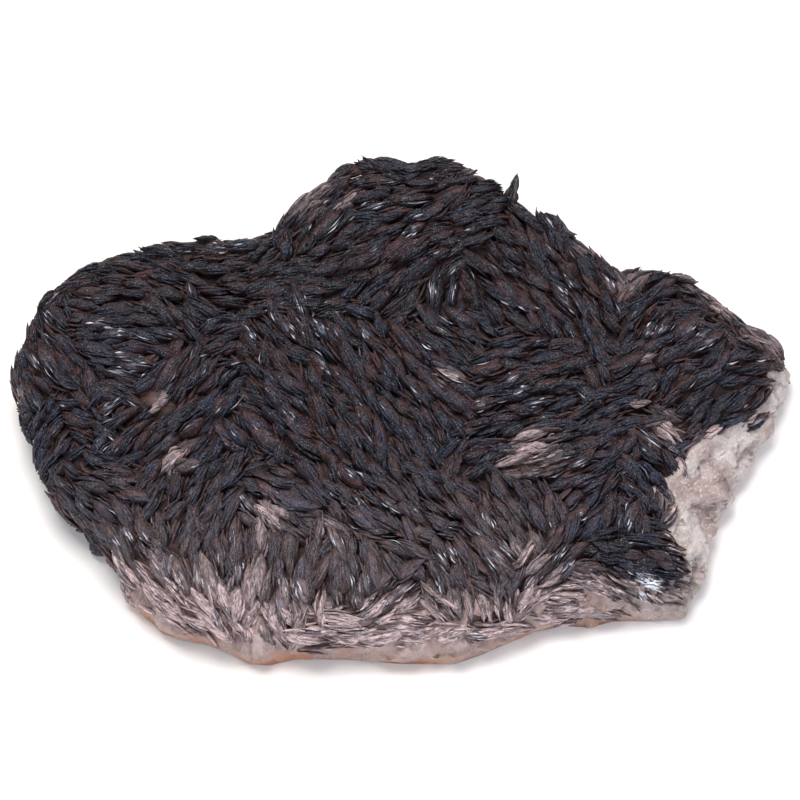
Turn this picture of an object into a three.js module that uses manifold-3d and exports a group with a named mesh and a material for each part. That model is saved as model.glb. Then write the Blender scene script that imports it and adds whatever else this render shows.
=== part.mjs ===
// A cabinet specimen of bladed barite: a crust of dark, lens-shaped barite blades that grew in fanned
// packets over a slab of pale massive barite. The slab lies on its flat underside, blades up.
//
// Millimetres, +Z up. The origin is the middle of the flat underside; +X runs along the length of the
// plate and +Y to the back. The specimen is laid out on its display plane: the plane square to a line
// of sight that comes from the front, DISPLAY_ELEVATION above the table. A point is given there as
// "across" (the same as X) and "up" (up the display plane), and its depth follows from the surface.
import * as THREE from "three";
import { mergeVertices } from "three/addons/utils/BufferGeometryUtils.js";
import Module from "manifold-3d";

const wasm = await Module();
wasm.setup();

// ---- Driving dimensions -------------------------------------------------------------------------
const DISPLAY_ELEVATION = THREE.MathUtils.degToRad(60);
const DISPLAY_UP_AT_ORIGIN = 9; // how far below the origin the display plane's zero lies
const GAP = 0.3; // between the crust and the stone that it grew on

const STONE_EDGE_HEIGHT = 4; // where the stone's wall turns over into its top
const STONE_RISE = 13; // from that edge to the stone's top, under the crust
const STONE_ROUNDING = 15; // how far in from the edge the stone keeps rising
const STONE_TUCK = 6; // how far the stone stays inside the rim where the crust covers it
const TUCK_POINTS = 4; // rim points over which that comes in, at either end
const BROAD_KNOBS = 1.3; // height of the wide swellings of the stone's top
const SMALL_KNOBS = 0.9; // height of the narrow ones
const FOOT_SHARE = 0.93; // of the stone's outline, at the flat underside
const FOOT_CUT = 0.5; // taken off the foot to leave it flat

const CREST_BASE = 24; // height of the blade tips between the lobes
const CREST_ROUNDING = 15; // how far in from the rim the crust keeps rising
const RIM_DROP = 3; // from a rim point's turn down to where the rounding starts
const STAND = 3.6; // how far the blades stand out of the crust
const RIM_STAND_SHARE = 0.35; // of that, at the crust's rim
const CRUST_FOOT = 5; // height of the crust's lower lip, at the back and the left
const CRUST_FOOT_SHARE = 0.95; // of the crust's outline, at that lip

const RINGS = 7; // rings of facets from the middle of each body to its outline
const RING_CROWDING = 1.3; // above 1 the rings lie closer together near the outline

const BLADE = { length: 15, thickness: 5.8, rise: 4.8, root: 2.6 };
const BLADE_VARIETY = { length: 0.18, thickness: 0.2, stand: 0.7, lean: 12 }; // shares, mm and degrees

// The rim of the specimen, anticlockwise from the right-hand tip: across and up the display plane,
// and the height at which the rim turns out of sight.
const RIM = [
  [97.5, 9, 11], [96.5, 13, 14], [92, 16.5, 16], [88, 18, 18], [85, 20.5, 20], [82, 23.3, 22],
  [79.5, 24.5, 23], [77, 27.5, 24], [73, 30, 25], [69, 32.3, 25], [60, 33, 26], [56, 32.3, 26],
  [53, 35.5, 28], [50, 38, 29], [47, 40.3, 29], [44, 41, 30], [42, 44, 31], [40.5, 47, 31],
  [37, 48.3, 32], [34.5, 47.2, 32], [31, 50.5, 33], [27, 52, 34], [25, 55.5, 34], [20, 58, 35],
  [16, 61, 36], [10, 62.5, 36], [0, 61.8, 36], [-10, 61.8, 36], [-16, 60, 35], [-18.5, 56, 34],
  [-24, 53, 33], [-28, 50, 32], [-31, 45.5, 30], [-33, 42.8, 28], [-42, 41.2, 26], [-52, 40.4, 26],
  [-60, 41, 27], [-66, 38.5, 26], [-72, 37.3, 26], [-77, 35, 25], [-82, 31.5, 24], [-89, 26.5, 22],
  [-93, 20, 20], [-95, 14, 18], [-97.5, 8, 17], [-98, 2, 15], [-96, -4, 14], [-94.5, -8, 14],
  [-92.7, -11, 14], [-92, -16, 13], [-89, -21.5, 13], [-85, -28, 12], [-80, -32, 12],
  [-76, -36, 12], [-72, -40, 12], [-71.5, -44, 10], [-67, -48, 8], [-64, -52, 6], [-60, -57, 4],
  [-55, -59.2, 3], [-49, -60.2, 3], [-43, -62.6, 3], [-38, -65, 3], [-33, -65.4, 3],
  [-26, -63.8, 3], [-12, -64, 3], [0, -65, 3], [14, -65, 3], [20, -63, 3], [27, -60, 3],
  [34, -57, 3], [42, -55.6, 3], [48, -56, 3], [54, -54.5, 3], [64, -54.3, 3], [71.5, -53.8, 3],
  [73, -49, 3], [75.2, -44.5, 3], [76, -38, 3], [79, -32, 3], [82, -27, 3], [85.5, -20.5, 3],
  [90, -13, 3], [93.5, -8, 4], [95.3, -3, 5], [96, 3, 8],
];

// The crust covers the rim, over the back and the left, as far round as the point at this place.
const LAST_COVERED_ACROSS = -71.5;

// Where the crust stops short of the rim and the pale stone shows, along the front and the right.
// The same three numbers: across, up, and height.
const CRUST_EDGE = [
  [-67, -47.5, 10], [-60, -51, 12], [-52, -54.5, 13], [-43, -57, 13], [-33, -58, 13],
  [-22, -58.8, 13], [-10, -58.5, 13], [0, -56.5, 14], [12, -56, 14], [20, -56.2, 14],
  [28, -57.2, 8], [35, -54.4, 7], [45, -52.3, 8], [55, -51, 9], [62, -51.5, 8], [68, -50.5, 9],
  [70, -46, 13], [70.5, -41, 15], [68, -37, 17], [66, -30, 18], [68, -23, 18], [71, -16, 18],
  [73, -11, 18], [79, -9, 16], [85, -9, 13], [91, -5.5, 10], [95, -1, 8], [96, 4, 9],
];

// The swellings of the crust: across, back (the plan position), half-widths each way, and height.
const LOBES = [
  { x: -72, y: 12, wide: 24, deep: 26, high: 6 }, // the left lobe
  { x: 5, y: 44, wide: 32, deep: 22, high: 14 }, // the crown
  { x: -15, y: -5, wide: 34, deep: 30, high: 6 }, // the field
  { x: 72, y: 16, wide: 18, deep: 18, high: 5 }, // the right lobe
  { x: 50, y: -25, wide: 22, deep: 18, high: 3 }, // the right-hand front corner
  { x: 30, y: 2, wide: 20, deep: 14, high: 4 }, // the shoulder
];

// Packets of parallel blades: across, up, and the heading of their crests on the display plane, in
// degrees anticlockwise from +X.
const PACKETS = [
  // the left lobe, its back and its top
  [-79, 31, -5], [-68, 34, -12], [-60, 38, -25], [-88, 24, 45], [-58, 27, -30], [-74, 23, -3],
  [-92, 16, -55], [-88, 8.5, -50], [-78, 16, -3], [-64, 17, -12], [-70, 10.5, -5], [-70, 2.5, -20],
  [-58, 6, 65],
  // below it, down to the left-hand corner
  [-82, -1, -10], [-90, -5, 50], [-79, -9.5, -30], [-64, -4, 40], [-57, -7, 45], [-90, -13, 55],
  [-70, -17, -15], [-81, -18, -35], [-62, -17, 55], [-52, -16, 20], [-81, -27, -35], [-71, -32, -45],
  [-63, -33, -60], [-53, -30, 75], [-69, -42, -45], [-62, -48, -40], [-54, -40, -75], [-50, -51, -55],
  // the saddle behind the field
  [-47, 38, 5], [-47, 28, -3], [-36, 37, 30], [-38, 29, 15], [-28, 33, 3], [-20, 32.5, 10],
  [-31, 26, 8], [-42, 19, 15],
  // the crown, left to right
  [-24, 42, 60], [-17, 53, 40], [-8, 60, -5], [-8, 51, -5], [-8, 43, 20], [-1, 47, 15], [-10, 34, 28],
  [-6, 25, 50], [-17, 23, 0], [3, 58, 15], [12, 57, 15], [21, 52, 28], [14, 44.5, 22], [22, 44, 22],
  [4, 37, 30], [12, 36.5, 25], [30, 44, -55], [40, 40, -70], [29, 36, -40], [8, 28, 80], [18, 29, -75],
  [27, 28, -40], [39, 30, -60], [46, 21, -50], [51, 33, -60], [37, 19, -60], [27, 19, -40],
  // the right-hand lobe
  [61, 30, 50], [72, 28, 0], [80, 20, -60], [60, 20, 55], [67, 17, 50], [77, 11, 40], [60, 12, 30],
  [67, 5, 50], [89, 14, -5], [89, 3.5, -10], [57, 3, 20], [74, -2, 40], [58, -5, 22], [82, -5.5, 35],
  // the shoulder under the crown, where the crests lie nearly level
  [52, 13, -60], [48, 5, -70], [38, 11, 15], [28, 9.5, 15], [30, 2, 22], [21, -1, 25], [27, -7.5, 20],
  [16, -8.5, 25], [37, -6.5, 12], [44, -2.5, 25], [22, -15, 10], [14, -18, 50], [40, -13.5, 25],
  [33, -18.5, 10], [45, -20, 25],
  // the field, whose crests run down to the right
  [-33, 17, -60], [-24, 12, -60], [-15, 6, -55], [-9, 17, -65], [-43, 8, 15], [-32, 5, -50],
  [-7, 6, -60], [-47, -3, 50], [-36, -2, -40], [-26, -6, -48], [-42, -9, -60], [-14, -3, -60],
  [-3, -3, -70], [-31, -12.5, 85], [-30, -21.5, -12], [-22, -17, -50], [-12, -17, -50], [-41, -21, 50],
  [1, 14, -55], [3, 2, -50], [3, -9, -65], [6, -17, -50], [11, 16.5, -40], [13, 8, -28],
  // the apron, from the field down to the front edge
  [0, -23, -50], [8, -29, -30], [-11, -26, -45], [-4, -29.5, -48], [12, -40, -70], [17, -28, -65],
  [27, -31, -50], [38, -31, -80], [22, -38, -55], [18, -45, -65], [25, -52, -70], [13, -53, -75],
  [3, -42, 50], [-5, -51, 40], [29, -41, 45], [37, -42, 55], [34, -52, 50], [-26, -28, -25],
  [-38, -29, -35], [-30, -37, 88], [-21, -37, 80], [-11, -38, -80], [-22, -45, 75], [-36, -42, 88],
  [-32, -53, -65], [-45, -43, -80], [-41, -50, -75], [-46, -33, 85], [-15, -54, 3], [5, -54, 5],
  // the right-hand front corner
  [68, -12, -28], [53, -16, 40], [64, -20, -40], [56, -23, -45], [52, -31, 80], [60, -32, 85],
  [55, -38, -20], [67, -42, -10], [56, -47, -35],
];

// The one blade that stands clear of the rim, beside the crown: the place of its tip.
const SPIKE = { tip: [28.7, 56.3, 37], length: 5, thickness: 2.6, rise: 8, root: 12 };

// Rows of blades round the covered wall of the crust: each row's share of the way up from the foot to
// the rim, and how steeply its blades point upwards, from 0 for level to 1 for 45 degrees.
// The crests of a row are turned from level by up to its slant in degrees, either way.
const WALL_ROWS = [
  { share: 1, climb: 0.75, slant: 10 },
  { share: 0.66, climb: 0.25, slant: 35 },
  { share: 0.3, climb: -0.1, slant: 35 },
];
const WALL_SPACING = 13; // along a row
const WALL_SHIFT = 3; // each row starts this much further along than the one above
const WALL_BLADE = { length: 15, thickness: 5, rise: 4.4, root: 3 };

// Cleavage blocks that stand out of the broken stone, by display-plane position.
const BLOCKS = [
  [75, -14], [82, -12.5], [88, -9], [77, -19.5], [83.5, -17], [74, -26], [79.5, -23.5], [72, -32],
  [76, -30.5], [71.5, -37], [93, 1], [-63, -50], [-55, -55.5], [-46, -58], [-37, -60.5],
  [-27, -60.5], [-16, -61], [-6, -60], [4, -60], [15, -59.5], [23, -58.5],
];
const BLOCK = { wide: 10, deep: 7.5, high: 2.6, tilt: 13 }; // tilt in degrees, either way
const BLOCK_VARIETY = 0.25; // share by which a block is wider or narrower

const FLOOR_BLOCK = { side: 300, deep: 20 }; // takes off what lies under the table

// Steps between neighbours for the repeatable spreads of values, all unlike each other.
const SPREAD = { size: 0.618, turn: 0.414, lean: 0.271, stand: 0.732 };

// ---- The display plane and the surfaces ---------------------------------------------------------
const UPWARD = new THREE.Vector3(0, Math.sin(DISPLAY_ELEVATION), Math.cos(DISPLAY_ELEVATION));
const { clamp, degToRad } = THREE.MathUtils;

// The plan point of a display-plane point that lies at a known height.
const planPoint = ([across, up, height]) =>
  new THREE.Vector3(across, (up + DISPLAY_UP_AT_ORIGIN - height * UPWARD.z) / UPWARD.y, height);

// How many points of the rim the crust covers; from there on it has its own edge.
const COVERED_POINTS = RIM.findIndex(([across]) => across === LAST_COVERED_ACROSS) + 1;

const rim = RIM.map(planPoint);
const crustRim = [...rim.slice(0, COVERED_POINTS), ...CRUST_EDGE.map(planPoint)];
const stoneRim = rim.map((point, i) => {
  const tuck = STONE_TUCK * clamp(Math.min(i, COVERED_POINTS - i) / TUCK_POINTS, 0, 1);
  const share = 1 - tuck / Math.hypot(point.x, point.y);
  return new THREE.Vector3(point.x * share, point.y * share, STONE_EDGE_HEIGHT);
});

// Distance from (x, y) to the outline, positive inside, with the outline's height at the nearest place.
function depthInside(outline, x, y) {
  let nearest = Infinity;
  let height = 0;
  let inside = false;
  outline.forEach((a, i) => {
    const b = outline[(i + 1) % outline.length];
    const ex = b.x - a.x;
    const ey = b.y - a.y;
    const t = clamp(((x - a.x) * ex + (y - a.y) * ey) / (ex * ex + ey * ey), 0, 1);
    const distance = Math.hypot(x - a.x - t * ex, y - a.y - t * ey);
    if (distance < nearest) {
      nearest = distance;
      height = a.z + t * (b.z - a.z);
    }
    if (a.y > y !== b.y > y && x < a.x + ((y - a.y) * ex) / ey) inside = !inside;
  });
  return { depth: inside ? nearest : -nearest, height };
}

// A quarter round, from 0 at the rim to 1 where the rounding ends.
const quarterRound = (depth, reach) => {
  const left = 1 - clamp(depth / reach, 0, 1);
  return Math.sqrt(1 - left * left);
};

const swell = (x, y) =>
  LOBES.reduce(
    (sum, lobe) =>
      sum + lobe.high * Math.exp(-(((x - lobe.x) / lobe.wide) ** 2) - ((y - lobe.y) / lobe.deep) ** 2),
    0,
  );

// Height of the blade tips above (x, y).
function crest(x, y) {
  const { depth, height } = depthInside(crustRim, x, y);
  const edge = height - RIM_DROP;
  return edge + (CREST_BASE + swell(x, y) - edge) * quarterRound(depth, CREST_ROUNDING);
}

// Height of the stone's top: a rounded slab with low knobs.
function stoneTop(x, y) {
  const { depth } = depthInside(stoneRim, x, y);
  const broad = BROAD_KNOBS * Math.sin(0.34 * x + 1.1) * Math.sin(0.29 * y - 0.4);
  const small = SMALL_KNOBS * Math.sin(0.61 * x - 0.47 * y);
  return STONE_EDGE_HEIGHT + (STONE_RISE + broad + small) * quarterRound(depth, STONE_ROUNDING);
}

// Where the line of sight through a display-plane point first meets a surface, or where it passes it
// most closely. The surface is a height function over an outline.
function inSight(surface, outline, across, up) {
  const STEP = 0.5;
  const REACH = 80;
  const level = up + DISPLAY_UP_AT_ORIGIN;
  let best = { over: -Infinity, y: 0 };
  for (let y = -REACH; y < REACH; y += STEP) {
    if (depthInside(outline, across, y).depth > 0) {
      const over = y * UPWARD.y + surface(across, y) * UPWARD.z - level;
      if (over > best.over) best = { over, y };
      if (over > 0) break;
    }
  }
  return new THREE.Vector3(across, best.y, surface(across, best.y));
}

// The outward direction of a surface, no steeper than the crust's edge can take.
function outwardOf(surface, x, y) {
  const STEP = 1.5;
  const STEEPEST = 2;
  const slopeX = (surface(x + STEP, y) - surface(x - STEP, y)) / (2 * STEP);
  const slopeY = (surface(x, y + STEP) - surface(x, y - STEP)) / (2 * STEP);
  const bound = (slope) => -clamp(slope, -STEEPEST, STEEPEST);
  return new THREE.Vector3(bound(slopeX), bound(slopeY), 1).normalize();
}

// ---- Solids -------------------------------------------------------------------------------------
// The same geometry with its positions only, shared between its triangles.
function indexed(geometry) {
  geometry.deleteAttribute("normal");
  geometry.deleteAttribute("uv");
  return mergeVertices(geometry, 1e-4);
}

function toSolid(geometry) {
  const merged = indexed(geometry);
  return new wasm.Manifold(
    new wasm.Mesh({
      numProp: 3,
      vertProperties: merged.attributes.position.array,
      triVerts: new Uint32Array(merged.index.array),
    }),
  );
}

function toGeometry(solid) {
  const { vertProperties, triVerts } = solid.getMesh();
  const geometry = new THREE.BufferGeometry();
  geometry.setAttribute("position", new THREE.BufferAttribute(vertProperties, 3));
  geometry.setIndex(new THREE.BufferAttribute(triVerts, 1));
  geometry.computeVertexNormals();
  return geometry;
}

const largestPiece = (solid) =>
  solid.decompose().reduce((a, b) => (a.volume() > b.volume() ? a : b));

// The point of an outline at a fraction of the way round it, by the count of its points.
function alongOutline(outline, fraction) {
  const count = outline.length;
  return outline[(Math.round(fraction * count) + count) % count];
}

// A closed body wrapped on an outline: a gridded box whose square rings become rings that follow the
// outline. "place" gives a vertex from its ring's share of the outline, the outline's point and the
// level: 1 for the top, 0 for the middle of the wall and -1 for the underside.
function wrapOutline(outline, place) {
  const geometry = new THREE.BoxGeometry(2, 2, 2, 2 * RINGS, 2 * RINGS, 2);
  const merged = indexed(geometry);
  const vertices = merged.attributes.position;
  splitTowardsMiddle(merged.index, (i) => ringOf(vertices.getX(i), vertices.getY(i)));
  for (let i = 0; i < vertices.count; i += 1) {
    const s = vertices.getX(i);
    const t = vertices.getY(i);
    const share = 1 - (1 - ringOf(s, t)) ** RING_CROWDING;
    const vertex = place(share, alongOutline(outline, ringFraction(s, t)), Math.round(vertices.getZ(i)));
    vertices.setXYZ(i, vertex.x, vertex.y, vertex.z);
  }
  return merged;
}

const ringOf = (s, t) => Math.max(Math.abs(s), Math.abs(t));

// Turns the diagonal of each corner square, where it would join two points of the same ring. Each
// square is two triangles in a row: a, b, d and b, c, d.
function splitTowardsMiddle(index, ring) {
  for (let i = 0; i < index.count; i += 6) {
    const [a, b, c, d] = [0, 1, 4, 2].map((k) => index.getX(i + k));
    if (ring(b) === ring(d) && ring(a) !== ring(c)) {
      [a, b, c, a, c, d].forEach((v, k) => index.setX(i + k, v));
    }
  }
}

// How far round its square ring a grid point lies, anticlockwise from the middle of the right side.
function ringFraction(s, t) {
  const ring = ringOf(s, t);
  if (ring === 0) return 0;
  const a = s / ring;
  const b = t / ring;
  if (a >= 1 - 1e-6) return b / 8;
  if (b >= 1 - 1e-6) return (2 - a) / 8;
  if (a <= -1 + 1e-6) return (4 - b) / 8;
  return (6 + a) / 8;
}

// The slab of stone, with "margin" added round its wall and twice that on its top.
const stoneBody = (margin) =>
  wrapOutline(stoneRim, (share, edge, level) => {
    const grow = 1 + margin / Math.hypot(edge.x, edge.y);
    const foot = share * FOOT_SHARE * grow;
    if (level < 0) return new THREE.Vector3(edge.x * foot, edge.y * foot, -FOOT_CUT);
    if (level === 0) return new THREE.Vector3(edge.x * grow, edge.y * grow, STONE_EDGE_HEIGHT / 2);
    const x = edge.x * share;
    const y = edge.y * share;
    return new THREE.Vector3(x * grow, y * grow, stoneTop(x, y) + 2 * margin);
  });

// The crust without its blades, STAND below their tips and less than that at its rim.
const crustBody = wrapOutline(crustRim, (share, edge, level) => {
  if (level < 0) {
    const inset = share * CRUST_FOOT_SHARE;
    return new THREE.Vector3(edge.x * inset, edge.y * inset, CRUST_FOOT);
  }
  const x = edge.x * share;
  const y = edge.y * share;
  const rounding = quarterRound(depthInside(crustRim, x, y).depth, CREST_ROUNDING);
  const stand = STAND * (RIM_STAND_SHARE + (1 - RIM_STAND_SHARE) * rounding);
  const top = new THREE.Vector3(x, y, crest(x, y)).addScaledVector(outwardOf(crest, x, y), -stand);
  return level > 0 ? top : top.setZ((top.z + CRUST_FOOT) / 2);
});

// A lens-shaped blade: six points round its edge and one in the middle of each face. Its middle is at
// the origin, its crest runs along X, its faces look along Y and its upper edge points to +Z.
function lens({ length, thickness, rise, root }) {
  const geometry = new THREE.SphereGeometry(1, 6, 2);
  const vertices = geometry.attributes.position;
  for (let i = 0; i < vertices.count; i += 1) {
    const along = (vertices.getX(i) * length) / 2;
    const high = (vertices.getZ(i) / Math.sin(Math.PI / 3)) * (vertices.getZ(i) > 0 ? rise : root);
    vertices.setXYZ(i, along, (vertices.getY(i) * thickness) / 2, high);
  }
  return geometry;
}

// A blade with its upper tip at a point, its crest along one direction and its upper edge towards
// another, which is kept.
function standBlade(size, tip, crestLine, up) {
  const along = crestLine.clone().addScaledVector(up, -crestLine.dot(up)).normalize();
  const frame = new THREE.Matrix4().makeBasis(along, up.clone().cross(along), up);
  frame.setPosition(tip.clone().addScaledVector(up, -size.rise));
  return toSolid(lens(size).applyMatrix4(frame));
}

// A heading on the display plane as a direction in space.
const headingLine = (degrees) =>
  new THREE.Vector3(Math.cos(degToRad(degrees)), 0, 0).addScaledVector(UPWARD, Math.sin(degToRad(degrees)));

// A repeatable spread of values between -1 and 1.
const spread = (i, step) => 2 * ((i * step) % 1) - 1;

const packetBlades = PACKETS.map(([across, up, heading], i) => {
  const crestPoint = inSight(crest, crustRim, across, up);
  const outward = outwardOf(crest, crestPoint.x, crestPoint.y);
  const line = headingLine(heading);
  const lean = degToRad(BLADE_VARIETY.lean * spread(i, SPREAD.lean));
  const leaning = outward.clone().applyAxisAngle(line, lean);
  const size = {
    ...BLADE,
    length: BLADE.length * (1 + BLADE_VARIETY.length * spread(i, SPREAD.size)),
    thickness: BLADE.thickness * (1 + BLADE_VARIETY.thickness * spread(i, SPREAD.turn)),
  };
  const tip = crestPoint.addScaledVector(outward, BLADE_VARIETY.stand * spread(i, SPREAD.stand));
  return standBlade(size, tip, line, leaning);
});

// Blades over the back and left wall, from the rim down to the foot.
const wallBlades = WALL_ROWS.flatMap(({ share, climb, slant }, row) => {
  const covered = rim.slice(0, COVERED_POINTS);
  const blades = [];
  let walked = WALL_SPACING / 2 + row * WALL_SHIFT;
  for (let i = 0; i + 1 < covered.length; i += 1) {
    const a = covered[i];
    const b = covered[i + 1];
    const step = Math.hypot(b.x - a.x, b.y - a.y);
    for (; walked < step; walked += WALL_SPACING) {
      const place = a.clone().lerp(b, walked / step);
      const outward = new THREE.Vector3(b.y - a.y, a.x - b.x, 0).normalize().setZ(climb);
      place.setZ(CRUST_FOOT + (place.z - CRUST_FOOT) * share);
      const count = blades.length;
      const turn = degToRad(slant * spread(count, SPREAD.turn));
      const level = new THREE.Vector3(b.x - a.x, b.y - a.y, 0).normalize();
      const line = level.multiplyScalar(Math.cos(turn)).setZ(Math.sin(turn));
      const longer = 1 + BLADE_VARIETY.length * spread(count, SPREAD.size);
      const size = { ...WALL_BLADE, length: WALL_BLADE.length * longer };
      blades.push(standBlade(size, place, line, outward.normalize()));
    }
    walked -= step;
  }
  return blades;
});

const spike = standBlade(SPIKE, planPoint(SPIKE.tip), new THREE.Vector3(1, 0, 0), UPWARD);

// Angular blocks, sunk half their height in the stone, with "margin" added all round.
const cleavageBlocks = (margin) =>
  BLOCKS.map(([across, up], i) => {
    const place = inSight(stoneTop, stoneRim, across, up);
    const outward = outwardOf(stoneTop, place.x, place.y);
    const size = 1 + BLOCK_VARIETY * spread(i, SPREAD.size);
    const sides = [BLOCK.wide * size, BLOCK.deep * size, BLOCK.high].map((side) => side + 2 * margin);
    const block = new THREE.BoxGeometry(...sides);
    block.rotateZ(degToRad(180 * spread(i, SPREAD.turn)));
    block.rotateX(degToRad(BLOCK.tilt * spread(i, SPREAD.lean)));
    block.rotateY(degToRad(BLOCK.tilt * spread(i, SPREAD.stand)));
    block.applyQuaternion(new THREE.Quaternion().setFromUnitVectors(new THREE.Vector3(0, 0, 1), outward));
    return block.translate(place.x, place.y, place.z);
  });

const asSolids = (geometries) => wasm.Manifold.union(geometries.map(toSolid));
const floorBlock = new THREE.BoxGeometry(FLOOR_BLOCK.side, FLOOR_BLOCK.side, FLOOR_BLOCK.deep);
const floorCut = toSolid(floorBlock.translate(0, 0, -FLOOR_BLOCK.deep / 2));
const stone = asSolids([stoneBody(0), ...cleavageBlocks(0)]).subtract(floorCut);
const clearance = asSolids([stoneBody(GAP), ...cleavageBlocks(GAP)]);
const crust = largestPiece(
  wasm.Manifold.union([toSolid(crustBody), ...packetBlades, ...wallBlades, spike]).subtract(clearance),
);

function namedMesh(name, solid, colour, roughness) {
  const material = new THREE.MeshStandardMaterial({ name, color: colour, roughness, metalness: 0 });
  const mesh = new THREE.Mesh(toGeometry(solid), material);
  mesh.name = name;
  return mesh;
}

const specimen = new THREE.Group();
specimen.name = "barite_specimen";
specimen.add(namedMesh("matrix", stone, 0xc2b0aa, 0.85));
specimen.add(namedMesh("bladed_crust", crust, 0x3b3a40, 0.45));

export default specimen;
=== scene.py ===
"""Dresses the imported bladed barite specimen: blades, ground, stone, floor, light and camera."""

import logging
import math
from collections.abc import Callable, Iterator, Mapping, Sequence
from dataclasses import dataclass, field, fields, replace
from enum import Enum
from functools import partial
from typing import Any

import bmesh
import bpy
import numpy as np
from mathutils import Matrix, Vector


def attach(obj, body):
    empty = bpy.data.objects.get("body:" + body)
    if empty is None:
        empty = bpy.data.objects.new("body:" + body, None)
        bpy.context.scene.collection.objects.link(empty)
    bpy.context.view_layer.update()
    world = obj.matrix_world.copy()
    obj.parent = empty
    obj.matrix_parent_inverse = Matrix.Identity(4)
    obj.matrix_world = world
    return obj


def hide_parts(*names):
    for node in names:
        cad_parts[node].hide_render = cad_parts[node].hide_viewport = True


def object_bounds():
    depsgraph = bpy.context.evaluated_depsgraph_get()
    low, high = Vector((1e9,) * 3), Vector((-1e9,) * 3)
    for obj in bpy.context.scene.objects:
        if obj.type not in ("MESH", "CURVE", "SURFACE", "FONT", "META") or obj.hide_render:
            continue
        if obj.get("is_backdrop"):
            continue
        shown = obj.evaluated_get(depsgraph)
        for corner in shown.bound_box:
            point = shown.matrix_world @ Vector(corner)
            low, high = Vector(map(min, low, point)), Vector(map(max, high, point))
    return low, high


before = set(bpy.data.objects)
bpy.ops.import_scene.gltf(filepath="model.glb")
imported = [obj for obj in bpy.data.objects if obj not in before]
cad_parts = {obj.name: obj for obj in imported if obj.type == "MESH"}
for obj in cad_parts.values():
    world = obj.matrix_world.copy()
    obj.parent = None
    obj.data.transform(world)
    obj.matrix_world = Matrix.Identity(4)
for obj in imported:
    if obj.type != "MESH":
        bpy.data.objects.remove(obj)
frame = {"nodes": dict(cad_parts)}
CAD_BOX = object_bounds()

LOG = logging.getLogger("barite")
MM = 0.001

Array = np.ndarray
Points = tuple[tuple[float, float, float], ...]
Span = tuple[float, float]
Wave = tuple[float, float, float]

UPRIGHT = np.array([0.0, 0.0, 1.0])


class Tone(Enum):
    """What marks out a packet of blades among its neighbours."""

    PLAIN = ""
    BRUISED = "w"
    DUSTED = "p"
    DARK = "d"
    BLUE = "b"


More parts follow.
